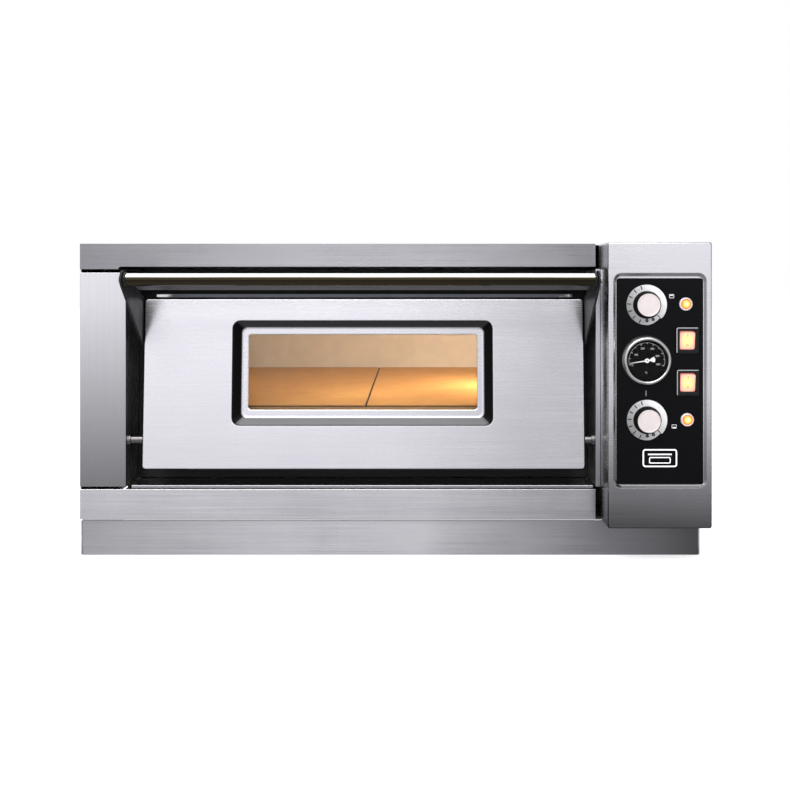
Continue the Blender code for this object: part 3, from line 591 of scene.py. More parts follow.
DOOR_RECT = (-0.358, 0.281, -0.0418, 0.205)
DOOR_FACE = 0.012
DOOR_REAR = -0.010
WINDOW_BROW = (-0.2305, 0.1495, 0.0200, 0.1738)
WINDOW_FOOT = (-0.2132, 0.1330, 0.0348, 0.1609)
WINDOW_OPEN = (-0.2065, 0.1260, 0.0437, 0.1526)
WINDOW_LEVEL = 0.005
BAR_HEIGHT = 0.2264
BAR_REACH = 0.106
BAR_RADIUS = 0.0085
ARM_THICKNESS = 0.003
ARM_GAP = 0.0005
MOUTH_FACE = -0.0475


def build_door_skin():
    """A tray of folded sheet with rolled edges and a pressed recess round the window."""
    sheet = 0.0012
    lip = 0.0008
    fold = WINDOW_LEVEL - 0.002
    behind = DOOR_FACE - sheet
    loops = contour(DOOR_RECT, (0, 0.004, DOOR_REAR))
    loops += rolled_edge(DOOR_RECT, 0.004, DOOR_FACE, 0.0022)
    loops += pressed_slope(WINDOW_BROW, WINDOW_FOOT, (0.012, 0.007), DOOR_FACE, WINDOW_LEVEL)
    loops += contour(WINDOW_OPEN, (lip + HOLD, 0.004, WINDOW_LEVEL), (lip, 0.004, WINDOW_LEVEL),
                     (0, 0.004, WINDOW_LEVEL - lip), (0, 0.004, fold), (sheet, 0.004, fold))
    loops += contour(WINDOW_FOOT, (sheet, 0.007, WINDOW_LEVEL - sheet))
    loops += contour(WINDOW_BROW, (sheet, 0.012, behind))
    loops += contour(DOOR_RECT, (-2 * sheet, 0.004, behind), (-sheet, 0.004, DOOR_REAR))
    Shape().loft(loops, ring=True).piece(
        "door_skin_sheet", "door", "casing_steel", "door_skin", DOOR_PLANE, 50, "door")


def build_handle():
    """The tube, its black end collars and the bolts that hold it between the arms."""
    left, right = DOOR_RECT[:2]
    axis = moved(0, BAR_HEIGHT, BAR_REACH) @ SIDEWAYS
    profile = [(0.0060, left + 0.001), (BAR_RADIUS, left + 0.002), (BAR_RADIUS, right - 0.002),
               (0.0060, right - 0.001)]
    Shape().lathe(profile, 40, at=axis).piece(
        "handle_tube", "bar", "polished_steel", "handle_bar", DOOR_PLANE, body="door")
    collar = 0.0035
    soft = 0.0008
    rim = BAR_RADIUS + 0.0014
    collars = Shape()
    for near, far in ((left, left + collar), (right - collar, right)):
        profile = [(rim - soft, near), (rim, near + soft), (rim, far - soft), (rim - soft, far)]
        collars.lathe(profile, 40, at=axis)
    collars.piece("handle_collars", "arm", "arm_steel", matrix=DOOR_PLANE, body="door")
    bolts = Shape()
    reach = ARM_THICKNESS + ARM_GAP
    for edge, head in ((left - reach, -0.0032), (right + reach, 0.0032)):
        profile = [(0.0062, edge), (0.0062, edge + head * 0.5), (0.0046, edge + head),
                   (0.0020, edge + head), (0.0020, edge + head * 0.4)]
        bolts.lathe(profile, 24, at=axis)
    bolts.piece("handle_bolts", "polished", "polished_steel", matrix=DOOR_PLANE, body="door")


def build_arms():
    """Plates from the sides of the door to the bar, with a broad rounded nose."""
    left, right = DOOR_RECT[:2]
    outline = arm_points()
    for name, edge in (("left", left - ARM_GAP - ARM_THICKNESS), ("right", right + ARM_GAP)):
        loops = [[(edge + level, y, z) for y, z in outline] for level in (0.0, ARM_THICKNESS)]
        arm = Shape().loft(loops, at=DOOR_PLANE).piece(
            "arm_plate_" + name, "arm", "arm_steel", "handle_arm_" + name, body="door")
        soften(arm, 0.0006)


def arm_points():
    """Side view of an arm as (up, forward) from the hinge axis."""
    foot = 0.1380
    nose = 0.0123
    points = [(foot, 0.0015), (0.2020, 0.0015)]
    for step in range(17):
        angle = math.radians(62 + 172 * step / 16)
        points.append((BAR_HEIGHT + nose * math.sin(angle), BAR_REACH - nose * math.cos(angle)))
    return points + [(foot, DOOR_FACE)]


def build_hood():
    """A folded lip across the recess above the door, and a seal strip on the mouth behind it."""
    low, high = (0.3826, 0.3893)
    lip = -0.044
    root = -0.0735
    sheet = 0.0012
    section = [(low, lip), (high, lip), (high, root), (high - sheet, root),
               (high - sheet, lip - sheet), (low, lip - sheet)]
    loops = [[(x, y, z) for y, z in section] for x in (-0.3810, 0.2957)]
    soften(Shape().loft(loops).piece("hood_lip", "hood", "casing_steel", matrix=FRONT_PLANE), 0.0004)
    strip = (-0.352, 0.275, 0.2093, 0.2143)
    Shape().block(strip, MOUTH_FACE - 0.0005, MOUTH_FACE + 0.0013).piece(
        "mouth_strip", "blue_grey", "inner_steel", matrix=DOOR_PLANE)
    tabs = Shape()
    for start, end in ((-0.356, -0.331), (0.255, 0.271)):
        tabs.block((start, end, 0.2098, 0.2135), MOUTH_FACE + 0.0008, MOUTH_FACE + 0.0024)
    tabs.piece("mouth_strip_tabs", "polished", "polished_steel", matrix=DOOR_PLANE)


# ------------------------------------------------------------- control box

BOX_RECT = (0.303, 0.4475, 0.0525, 0.450)
BOX_FACE = 0.049
BOX_REAR = -0.012
PANEL_BROW = (0.3100, 0.4406, 0.108, 0.4075)
PANEL_FOOT = (0.3145, 0.4361, 0.1125, 0.4022)
FILM_RECT = (0.3154, 0.4357, 0.1137, 0.400)


def build_control_box():
    """A folded box whose front has a pressed recess for the control panel."""
    sheet = 0.0015
    floor = BOX_FACE - 0.003
    behind = BOX_FACE - sheet
    loops = contour(BOX_RECT, (0, 0.003, BOX_REAR))
    loops += rolled_edge(BOX_RECT, 0.003, BOX_FACE, 0.0018)
    loops += pressed_slope(PANEL_BROW, PANEL_FOOT, (0.012, 0.008), BOX_FACE, floor)
    loops += contour(FILM_RECT, (-0.004, 0.004, floor), (-0.004, 0.004, floor - sheet))
    loops += contour(PANEL_FOOT, (sheet, 0.008, floor - sheet))
    loops += contour(PANEL_BROW, (sheet, 0.012, behind))
    loops += contour(BOX_RECT, (-2 * sheet, 0.003, behind), (-sheet, 0.003, BOX_REAR))
    Shape().loft(loops, ring=True).piece(
        "control_box_sheet", "box", "casing_steel", "control_box_shell", FRONT_PLANE, 50)


# ---------------------------------------------------------------- controls

KNOBS = {"top": (0.3567, 0.3629), "floor": (0.3572, 0.2031)}
LAMPS = {"top": (0.4114, 0.3641), "floor": (0.4133, 0.2035)}
SWITCHES = {"upper": (0.4137, 0.3135), "lower": (0.4143, 0.2549)}
ICONS = {"top": (0.3918, 0.3749), "floor": (0.3953, 0.1939)}
THERMOMETER = (0.3570, 0.2855)
PRINT = 0.00012

DIAL_RADIUS = 0.028
DIAL_LOW = 0.0008
DIAL_HIGH = 0.0032
DIAL_PRINT = (DIAL_HIGH - PRINT, DIAL_HIGH + PRINT)
TICK_FIRST = 17.8
TICK_PITCH = 23.15
SHRINK_FROM = 185
STOP_ANGLE = 227


def snail(inset, level, steps=120):
    """The dial's outline: a circle that narrows steadily towards its stop, then steps out."""
    span = STOP_ANGLE - SHRINK_FROM
    points = []
    for step in range(steps):
        degrees = 360 * step / steps
        part = (degrees - SHRINK_FROM) / span if SHRINK_FROM < degrees < STOP_ANGLE else 0
        points.append((*polar(DIAL_RADIUS - inset - 0.0026 * part, degrees), level))
    return points


def build_dial(name, centre):
    place = on_panel(centre)
    body = "knob_" + name
    low, high = DIAL_PRINT
    bore = [(*polar(0.0098, 3 * step), DIAL_HIGH) for step in range(120)]
    under = [(x, y, DIAL_LOW) for x, y, _ in bore]
    loops = [snail(0, DIAL_LOW), snail(0, DIAL_HIGH - 0.0006), snail(0.0005, DIAL_HIGH), bore, under]
    Shape().loft(loops, ring=True).piece(
        "dial_plate_" + name, "dial", "dial_silver", "knob_dial_" + name, place, body=body)
    marks = Shape()
    for step in range(7):
        angle = TICK_FIRST + TICK_PITCH * step
        marks.bar(polar(0.0220, angle), polar(0.0273, angle), 0.0015, low, high)
    stop = STOP_ANGLE - 1
    marks.bar(polar(0.0200, stop), polar(0.0250, stop), 0.0012, low, high)
    ring = [(0.0005, low), (0.0005, high), (0.0023, high), (0.0023, low)]
    for angle in (180, 203):
        marks.lathe(ring, 24, ring=True, at=moved(*polar(0.0218, angle)))
    marks.piece("dial_marks_" + name, "black", "black_plastic", matrix=place, body=body)
    figures = Shape()
    for step in range(7):
        angle = TICK_FIRST + TICK_PITCH * (step + 0.5)
        figures.text(str(350 - 50 * step), 0.0026, polar(0.0240, angle), low, high, angle)
    figures.lathe([(0.0005, low), (0.0005, high)], 12, at=moved(*polar(0.0243, -42)))
    figures.piece("dial_figures_" + name, "faint_print", "black_plastic", matrix=place, body=body)


def build_grip(name, centre):
    """A fluted skirt that narrows towards a bright cap."""
    place = on_panel(centre)
    body = "knob_" + name
    profile = ((0.0193, 0.0035, 0), (0.0193, 0.0050, 0.0002), (0.0188, 0.0064, 0.0008),
               (0.0178, 0.0102, 0.0013), (0.0173, 0.0127, 0.0013), (0.0168, 0.0134, 0.0009),
               (0.0161, 0.0137, 0.0003))
    loops = [circle(r, level, 96, 12, depth) for r, level, depth in profile]
    Shape().loft(loops).piece(
        "knob_skirt_" + name, "knob", "black_plastic", "knob_grip_" + name, place, 60, body)
    cap = [(0.0158, 0.0130), (0.0158, 0.0140), (0.0154, 0.0145), (0.0144, 0.0145),
           (0.0136, 0.0140), (0.0002, 0.0140)]
    Shape().lathe(cap, 64).piece("knob_cap_" + name, "cap", "dial_silver", None, place, 25, body)


def build_thermometer():
    """A chromed bezel on a conical flange, with a black face behind it."""
    place = on_panel(THERMOMETER)
    bezel = [(0.0286, 0.0010), (0.0286, 0.0062), (0.0291, 0.0071), (0.0301, 0.0075),
             (0.0315, 0.0073), (0.0326, 0.0064), (0.0330, 0.0048), (0.0330, 0.0002)]
    shape = Shape().lathe(bezel, 72, ring=True)
    shape.lathe([(0.0295, -0.020), (0.0295, -0.0002)], 40)
    shape.piece("thermometer_bezel", "bezel", "polished_steel", "thermometer_case", place, 50)
    cone = [(0.0326, 0.0002), (0.0326, 0.0046), (0.0332, 0.0045), (0.0350, 0.0014),
            (0.0353, 0.0008), (0.0353, 0.0002)]
    Shape().lathe(cone, 72, ring=True).piece(
        "thermometer_flange", "flange", "polished_steel", None, place, 50)
    face = 0.0016
    Shape().lathe([(0.0287, 0.0004), (0.0287, face)], 64).piece(
        "thermometer_face", "face", "black_plastic", "thermometer_dial", place)
    build_scale(place, face - PRINT, face + PRINT)
    build_needle(place)


def build_scale(place, low, high):
    scale = Shape()
    first = 104.4
    pitch = -21.15
    scale.arc(0.0249, 0.0003, first + 10 * pitch, first, low, high)
    for step in range(11):
        angle = first + step * pitch
        inner = 0.0222 if step % 2 == 0 else 0.0230
        scale.bar(polar(inner, angle), polar(0.0245, angle), 0.0007, low, high)
    spots = {"0": (-0.0198, -0.0066), "100": (-0.0150, 0.0081), "200": (-0.0059, 0.0168),
             "300": (0.0075, 0.0163), "400": (0.0147, 0.0064), "500": (0.0158, -0.0052),
             "°C": (-0.0012, -0.0168)}
    for words, spot in spots.items():
        scale.text(words, 0.0037, spot, low, high)
    scale.piece("thermometer_scale", "grey_print", "white_paint", matrix=place)


def build_needle(place):
    """A fine pointer with a broad tail, drooping below the level at rest."""
    droop = Matrix.Rotation(math.radians(9), 4, "Z")
    edge = [(-0.0233, 0.00035), (0, 0.0008), (0.0035, 0.0007), (0.0098, 0.0040), (0.0112, 0.0018)]
    hand = [(x, -y) for x, y in edge] + [(0.0115, 0)] + edge[::-1]
    needle = Shape().prism(hand, 0.0023, 0.0029, droop)
    needle.lathe([(0.0031, 0.0022), (0.0031, 0.0032), (0.0027, 0.0034)], 32)
    needle.piece("thermometer_hand", "white", "white_paint", "thermometer_needle", place,
                 body="needle")
    Shape().lathe([(0.0009, 0.0030), (0.0009, 0.0036)], 16).piece(
        "thermometer_pin", "arm", "polished_steel", matrix=place, body="needle")


def build_lamps():
    ring = [(0.0070, 0.0003), (0.0070, 0.0022), (0.0075, 0.0030), (0.0082, 0.0029),
            (0.0089, 0.0020), (0.0092, 0.0003)]
    dome = [(0.0060, -0.0150), (0.0060, 0.0004), (0.0069, 0.0006), (0.0069, 0.0022),
            (0.0063, 0.0033), (0.0048, 0.0042), (0.0027, 0.0047), (0.0003, 0.0048)]
    for name, centre in LAMPS.items():
        place = on_panel(centre)
        Shape().lathe(ring, 48, ring=True).piece(
            "lamp_ring_" + name, "lamp_ring", "polished_steel", None, place, 60)
        Shape().lathe(dome, 40).piece(
            "lamp_lens_" + name, "lamp_amber", "amber_plastic", "pilot_lamp_" + name, place, 60)


ROCKER_REACH = 0.013
ROCKER_RISE = 23
ROCKER_SINK = -22
ROCKER_TILT = 7
ROCKER_DEPTH = 0.004


def rocker_side():
    """The rocker seen from the side, as (up, out) from its pivot."""
    steps = 8
    arc = []
    for step in range(steps):
        angle = ROCKER_SINK + (ROCKER_RISE - ROCKER_SINK) * step / (steps - 1)
        arc.append(angle)
    upper = [math.radians(angle + ROCKER_TILT) for angle in arc]
    lower = [math.radians(angle - ROCKER_TILT) for angle in reversed(arc)]
    points = [(ROCKER_REACH * math.cos(turn), ROCKER_REACH * math.sin(turn)) for turn in upper]
    valley = ROCKER_REACH * math.sin(math.radians(ROCKER_RISE)) - 0.0010
    tilt = math.radians(ROCKER_TILT)
    points.append((-valley * math.sin(tilt), valley * math.cos(tilt)))
    return points + [
        (-ROCKER_REACH * math.cos(turn), ROCKER_REACH * math.sin(turn)) for turn in lower]


def build_rocker(name, centre):
    """A key with rounded ends that carries a line above and a ring below."""
    body = "rocker_" + name
    place = on_panel(centre) @ moved(0, 0, -ROCKER_DEPTH)
    side = rocker_side()
    end = ((0.0107, 0.78), (0.0104, 0.87), (0.0096, 0.94), (0.0080, 0.985))
    stations = [(-x, part) for x, part in end] + list(reversed(end))
    loops = [[(x, up * part, out * part) for up, out in side] for x, part in stations]
    Shape().loft(loops).piece(
        "rocker_key_" + name, "rocker", "amber_plastic", "switch_rocker_" + name, place, 40, body)
    upper = moved(0, 0.0070, 0.00545) @ Matrix.Rotation(math.radians(11.5), 4, "X")
    lower = moved(0, -0.0066, 0.00370) @ Matrix.Rotation(math.radians(-2.3), 4, "X")
    height = 0.0003
    marks = Shape().block((-0.0004, 0.0004, -0.0016, 0.0016), 0, height, upper)
    ring = [(0.0010, 0), (0.0010, height), (0.0016, height), (0.0016, 0)]
    marks.lathe(ring, 20, ring=True, at=lower)
    marks.piece("rocker_marks_" + name, "rocker_print", "black_plastic", matrix=place, body=body)


def build_switch_frame(name, centre):
    """A black frame; a polished strip along its left and upper edges is a painted highlight, where
    the light from above left catches those edges.
    """
    place = on_panel(centre)
    outer = (-0.0160, 0.0150, -0.018, 0.018)
    inner = centred(0, 0, 0.0224, 0.0266)
    low = 0.0003
    height = 0.0030
    loops = contour(outer, (0, 0.0020, low), (0, 0.0020, height - 0.0008), (-0.0008, 0.0014, height))
    loops += contour(inner, (0.0006, 0.0010, height), (0, 0.0006, height - 0.0006),
                     (0, 0.0006, low))
    Shape().loft(loops, ring=True).piece(
        "switch_bezel_" + name, "black", "black_plastic", "switch_frame_" + name, place)
    width = 0.0012
    # Painted highlight: a polished strip on the left and upper edges only.
    highlight_strip = highlight_edge(outer, 0, width) + highlight_edge(outer, width, width)[::-1]
    Shape().prism(highlight_strip, height - 0.0006, height + 0.0003).piece(
        "switch_painted_highlight_" + name, "polished", "polished_steel", matrix=place)


def highlight_edge(rect, inset, margin, corner=0.0028):
    """Up the left side, round the upper left corner and along the top, in from the outline."""
    left, right, bottom, top = rect
    reach = corner - inset
    points = [(left + inset, bottom + margin)]
    for step in range(7):
        angle = math.radians(90 * step / 6)
        points.append((left + corner - reach * math.cos(angle),
                       top - corner + reach * math.sin(angle)))
    return points + [(right - margin, top - inset)]


def build_prints():
    """An index line for the lower knob, plain heat symbols and a plain oven symbol."""
    index = Shape().block((0.3556, 0.3569, 0.2362, 0.2438), -PRINT, PRINT)
    index.piece("panel_index", "index", "white_paint", matrix=PANEL_PLANE)
    prints = Shape()
    for name, (x, y) in ICONS.items():
        add_outline(prints, centred(x, y, 0.0066, 0.0052), 0.0005, 0.0008)
        level = 0.0012 if name == "top" else -0.0012
        prints.block(centred(x, y + level, 0.0042, 0.0009), -PRINT, PRINT)
    middle = 0.3755
    add_outline(prints, centred(middle, 0.1500, 0.0480, 0.0250), 0.0020, 0.0040)
    prints.block(centred(middle, 0.1552, 0.0330, 0.0020), -PRINT, PRINT)
    add_outline(prints, centred(middle, 0.1470, 0.0300, 0.0090), 0.0014, 0.0020)
    prints.piece("panel_prints", "print", "white_paint", matrix=PANEL_PLANE)


def add_outline(shape, rect, stroke, corner):
    """A printed frame with rounded corners."""
    tight = max(0.0002, corner - stroke)
    shape.loft(contour(rect, (0, corner, -PRINT), (0, corner, PRINT), (-stroke, tight, PRINT),
                       (-stroke, tight, -PRINT)), ring=True)


def build_controls():
    for name, centre in KNOBS.items():
        build_dial(name, centre)
        build_grip(name, centre)
    build_thermometer()
    build_lamps()
    for name, centre in SWITCHES.items():
        build_switch_frame(name, centre)
        build_rocker(name, centre)
    build_prints()


# ------------------------------------------------------------ casing sheets

FIELD_DROP = 0.0008
SHEET = 0.0015
BORDER = 0.014
SCREW_HEIGHT = FIELD_DROP - 0.0001


def plane(origin, right, up):
    """A drawing plane with its own x and y directions; z comes out towards the viewer."""
    out = Vector(right).cross(Vector(up))
    columns = Matrix((right, up, out)).transposed().to_4x4()
    return Matrix.Translation(origin) @ columns


def perforated(shape, rect, holes, low, high):
    """A flat sheet with rectangular holes, made cell by cell on the grid of their edges."""
    xs = sorted({value for r in (rect, *holes) for value in r[:2]})
    ys = sorted({value for r in (rect, *holes) for value in r[2:]})
    corners = {}

    def corner(column, row, level):
        key = (column, row, level)
        if key not in corners:
            corners[key] = shape.mesh.verts.new((xs[column], ys[row], level))
        return corners[key]

    def solid(column, row):
        if not (0 <= column < len(xs) - 1 and 0 <= row < len(ys) - 1):
            return False
        x = (xs[column] + xs[column + 1]) / 2
        y = (ys[row] + ys[row + 1]) / 2
        return not any(hole[0] < x < hole[1] and hole[2] < y < hole[3] for hole in holes)

    for column in range(len(xs) - 1):
        for row in range(len(ys) - 1):
            if not solid(column, row):
                continue
            spots = [(column, row), (column + 1, row), (column + 1, row + 1), (column, row + 1)]
            for level in (low, high):
                shape.mesh.faces.new([corner(*spot, level) for spot in spots])
            beside = [(column, row - 1), (column + 1, row), (column, row + 1), (column - 1, row)]
            for first, second, neighbour in zip(spots, spots[1:] + spots[:1], beside):
                if not solid(*neighbour):
                    shape.mesh.faces.new((corner(*first, low), corner(*second, low),
                                          corner(*second, high), corner(*first, high)))


def cover_sheet(name, node, rect, holes, matrix):
    """A sheet with a raised border round a slightly lower field, which may have vent slots."""
    brow = grown(rect, -BORDER)
    foot = grown(brow, -0.0016)
    soft = 0.0005
    corner = 0.0006
    loops = contour(rect, (0, corner, -SHEET), (0, corner, -soft), (-soft, corner, 0))
    loops += contour(brow, (0, corner, 0))
    loops += contour(foot, (0, corner, -FIELD_DROP), (0, corner, -SHEET))
    shape = Shape().loft(loops, ring=True)
    perforated(shape, foot, holes, -SHEET, -FIELD_DROP)
    shape.piece(name, "steel_x", "casing_steel", node, matrix)


def slots(left, bottom, columns, rows, size, pitch):
    """Rectangles for a block of vent slots."""
    found = []
    for column in range(columns):
        for row in range(rows):
            x = left + column * pitch[0]
            y = bottom + row * pitch[1]
            found.append((x, x + size[0], y, y + size[1]))
    return found


def screw_heads(name, spots, level, height, matrix, body="casing", radius=0.0040):
    """Low pan heads with a round socket, standing on one level of a sheet."""
    shape = Shape()
    top = level + height
    profile = [(radius, level - 0.0003), (radius, level + height * 0.45), (radius * 0.78, top),
               (radius * 0.42, top), (radius * 0.38, level + height * 0.35)]
    for spot in spots:
        shape.lathe(profile, 24, at=moved(*spot))
    shape.piece(name, "polished", "polished_steel", None, matrix, 28, body)


def border_spots(rect, inset, columns, rows):
    """Points spread along the four sides of a rectangle."""
    left, right, bottom, top = grown(rect, -inset)
    spots = []
    for step in range(columns):
        x = left + (right - left) * step / (columns - 1)
        spots += [(x, bottom), (x, top)]
    for step in range(1, rows - 1):
        y = bottom + (top - bottom) * step / (rows - 1)
        spots += [(left, y), (right, y)]
    return spots


def sheet_rect(node, right, up):
    """A CAD sheet's outline in a drawing plane through the row frame's origin."""
    low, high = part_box(node)
    spans = [sorted((low.dot(Vector(way)), high.dot(Vector(way)))) for way in (right, up)]
    return (*spans[0], *spans[1])


def build_covers():
    """The sides, the top and the back, each with its screws."""
    up = (0, 0, 1)
    side_slots = slots(-0.05, 0.15, 2, 12, (0.075, 0.0045), (0.095, 0.014))
    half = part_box("back_panel")[1].x
    for side, edge, right, holes in (("left", -half, (0, -1, 0), []),
                                     ("right", half, (0, 1, 0), side_slots)):
        matrix = plane((edge, 0, 0), right, up)
        rect = sheet_rect(side + "_side_panel", right, up)
        cover_sheet(side + "_side_sheet", side + "_side_panel", rect, holes, matrix)
        spots = border_spots(rect, BORDER + 0.011, 5, 3)
        screw_heads(side + "_side_screws", spots, -FIELD_DROP, SCREW_HEIGHT, matrix)
    matrix = moved(0, 0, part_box("top_cover")[1].z)
    rect = sheet_rect("top_cover", (1, 0, 0), (0, 1, 0))
    cover_sheet("top_sheet", "top_cover", rect, [], matrix)
    spots = border_spots(rect, BORDER + 0.012, 5, 4)
    screw_heads("top_screws", spots, -FIELD_DROP, SCREW_HEIGHT, matrix)
    build_back()


def build_back():
    """The rear sheet with two blocks of vent slots, its screws and a blank plate."""
    right = (-1, 0, 0)
    up = (0, 0, 1)
    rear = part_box("back_panel")[1].y
    matrix = plane((0, rear, 0), right, up)
    rect = sheet_rect("back_panel", right, up)
    holes = slots(-0.415, 0.205, 1, 12, (0.085, 0.0045), (0.100, 0.014))
    holes += slots(-0.10, 0.375, 4, 3, (0.060, 0.0045), (0.075, 0.012))
    cover_sheet("back_sheet", "back_panel", rect, holes, matrix)
    spots = border_spots(rect, BORDER + 0.011, 7, 4)
    screw_heads("back_screws", spots, -FIELD_DROP, 0.0022, matrix)
    plate = (-0.285, -0.185, 0.090, 0.150)
    height = 0.0010
    loops = contour(plate, (0, 0.004, -FIELD_DROP - 0.0003))
    loops += rolled_edge(plate, 0.004, -FIELD_DROP + height, 0.0004)
    Shape().loft(loops).piece("blank_plate", "silver", "dial_silver", matrix=matrix)
    screw_heads("plate_rivets", border_spots(plate, 0.006, 2, 2), -FIELD_DROP + height, 0.0010,
                matrix, radius=0.0018)
    build_gland(rear)
    build_base_strip()


def build_base_strip():
    """A strip that closes the gap between the base pan and the back sheet."""
    low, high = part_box("base_pan")
    rect = (low.x, high.x, high.y + 0.0001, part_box("back_panel")[0].y - 0.0001)
    Shape().block(rect, low.z + 0.0002, high.z).piece("base_strip", "inner", "casing_steel")


def build_gland(rear):
    """A hexagonal base and a fluted, domed nut round an empty bore; no cord is shown."""
    low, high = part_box("cable_gland")
    middle = (low + high) / 2
    matrix = plane((middle.x, rear, middle.z), (-1, 0, 0), (0, 0, 1))
    bore = 0.005
    hexagon = [circle(0.0130, 0.0, 6), circle(0.0130, 0.0085, 6), circle(0.0122, 0.0092, 6),
               circle(bore, 0.0092, 6), circle(bore, 0.0, 6)]
    nut = [circle(0.0106, 0.0090, 96, 16, 0.0009), circle(0.0106, 0.0165, 96, 16, 0.0009),
           circle(0.0098, 0.0190, 96, 16, 0.0004), circle(0.0078, 0.0200, 96),
           circle(bore, 0.0200, 96), circle(bore, 0.0090, 96)]
    shape = Shape().loft(hexagon, ring=True).loft(nut, ring=True)
    shape.piece("gland_body", "black", "black_plastic", "cable_gland", matrix, 40)


# ------------------------------------------------------------- door open

MOUTH = (-0.3436, 0.2664, 0.0445, 0.1927)


def build_stone_joint():
    """Dark crumbs and grout a little below the top of the joint between the two slabs."""
    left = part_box("stone_slab_left")
    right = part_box("stone_slab_right")
    rect = (left[1].x + 0.0001, right[0].x - 0.0001, left[0].y + 0.002, left[1].y - 0.002)
    Shape().block(rect, left[0].z + 0.001, left[1].z - 0.0008).piece(
        "stone_joint", "grout", "oven_stone")


def build_inside():
    """What shows with the door open: its screws, the mouth's seal and the lamp's ring."""
    build_stone_joint()
    behind = DOOR_FRAME @ plane((0, 0, 0), (-1, 0, 0), (0, 0, 1))
    spots = border_spots((-0.275, 0.352, 0.011, 0.190), 0.016, 5, 2)
    screw_heads("door_pan_screws", spots, 0.046, 0.0012, behind, "door", 0.0035)
    low = MOUTH_FACE - 0.0004
    side = MOUTH_FACE + 0.0006
    high = MOUTH_FACE + 0.0011
    outer = grown(MOUTH, 0.007)
    loops = contour(outer, (0, 0.006, low), (0, 0.006, side), (-0.0008, 0.006, high))
    inner = grown(MOUTH, 0.001)
    loops += contour(inner, (0.0008, 0.004, high), (0, 0.004, side), (0, 0.004, low))
    Shape().loft(loops, ring=True).piece("mouth_seal", "seal", "mineral_wool", matrix=DOOR_PLANE)
    low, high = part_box("chamber_lamp")
    middle = (low + high) / 2
    lamp = plane((MOUTH[1], middle.y, middle.z), (0, -1, 0), (0, 0, 1))
    ring = [(0.0285, 0.0005), (0.0285, 0.0066), (0.0300, 0.0072), (0.0330, 0.0058),
            (0.0345, 0.0020), (0.0345, 0.0005)]
    Shape().lathe(ring, 56, ring=True).piece(
        "chamber_lamp_ring", "bezel", "polished_steel", matrix=lamp)


# --------------------------------------------------------------- finishing

STEEL = (0.80, 0.79, 0.82)
GLOW_WHITE = (1.0, 0.97, 0.80)


def make_steels():
    # The casing is one stainless steel: the pillar, lower fascia, plinth, door and box get lighter
    # copies of its colour as painted light, the top fascia a darker copy as painted shade.
    brushed("steel_x", STEEL, 0.27, "X", 0.05)
    brushed("steel_y", STEEL, 0.30, "Y")
    brushed("steel_z", scaled(STEEL, 0.92), 0.27, "Z", 0.05)
    # Painted shade: the pillar darkens towards its bottom, the lower fascia towards its right end,
    # the top fascia and the plinth towards both ends, the plinth most at the right.
    brushed("pillar", (0.98, 0.97, 1.0), 0.27, "Z", 0.04, painted_shade=[("Z", 0.10, 0.37, 0.52)])
    brushed("lower", (0.97, 0.96, 1.0), 0.27, "X", 0.04, painted_shade=[("X", 0.30, 0.05, 0.70)])
    brushed("fascia", scaled(STEEL, 0.64), 0.30, "X", 0.04,
            painted_shade=[("X", -0.45, -0.10, 0.66), ("X", 0.29, 0.08, 0.68)])
    brushed("plinth", scaled(STEEL, 1.20), 0.30, "X", 0.05,
            painted_shade=[("X", -0.45, -0.15, 0.68), ("X", 0.45, 0.05, 0.13)])
    # Painted shade: the hood lip is the casing steel darkened nearly to black for the shade under the
    # top fascia.
    brushed("hood", scaled(STEEL, 0.17), 0.30)
    # Painted shade: the window recess walls are darkened almost to black, and the door greys towards
    # its right edge.
    brushed("door", (0.97, 0.96, 1.0), 0.26, "X", 0.025,
            (WINDOW_FOOT, WINDOW_LEVEL + 0.0002, DOOR_FACE - 0.0001, (0.07, 0.012, 0.085)),
            [("X", 0.28, 0.0, 0.80)])
    # Painted shade: the panel recess walls are darkened, and the box darkens towards its bottom.
    brushed("box", (0.95, 0.94, 0.96), 0.26, "X", 0.03,
            (PANEL_FOOT, BOX_FACE - 0.0029, BOX_FACE - 0.0001, (0.42, 0.60, 0.22)),
            [("Y", 0.055, 0.24, 0.17)])
    brushed("inner", (0.20, 0.19, 0.18), 0.42)
    brushed("divider", (0.20, 0.19, 0.18), 0.42, "Y")
    brushed("mouth", (0.035, 0.034, 0.033), 0.5)
    brushed("blue_grey", (0.30, 0.32, 0.36), 0.4)
    brushed("polished", (0.75, 0.75, 0.76), 0.12, "X", 0.03)
    tube_steel("bar", BAR_HEIGHT, BAR_RADIUS)


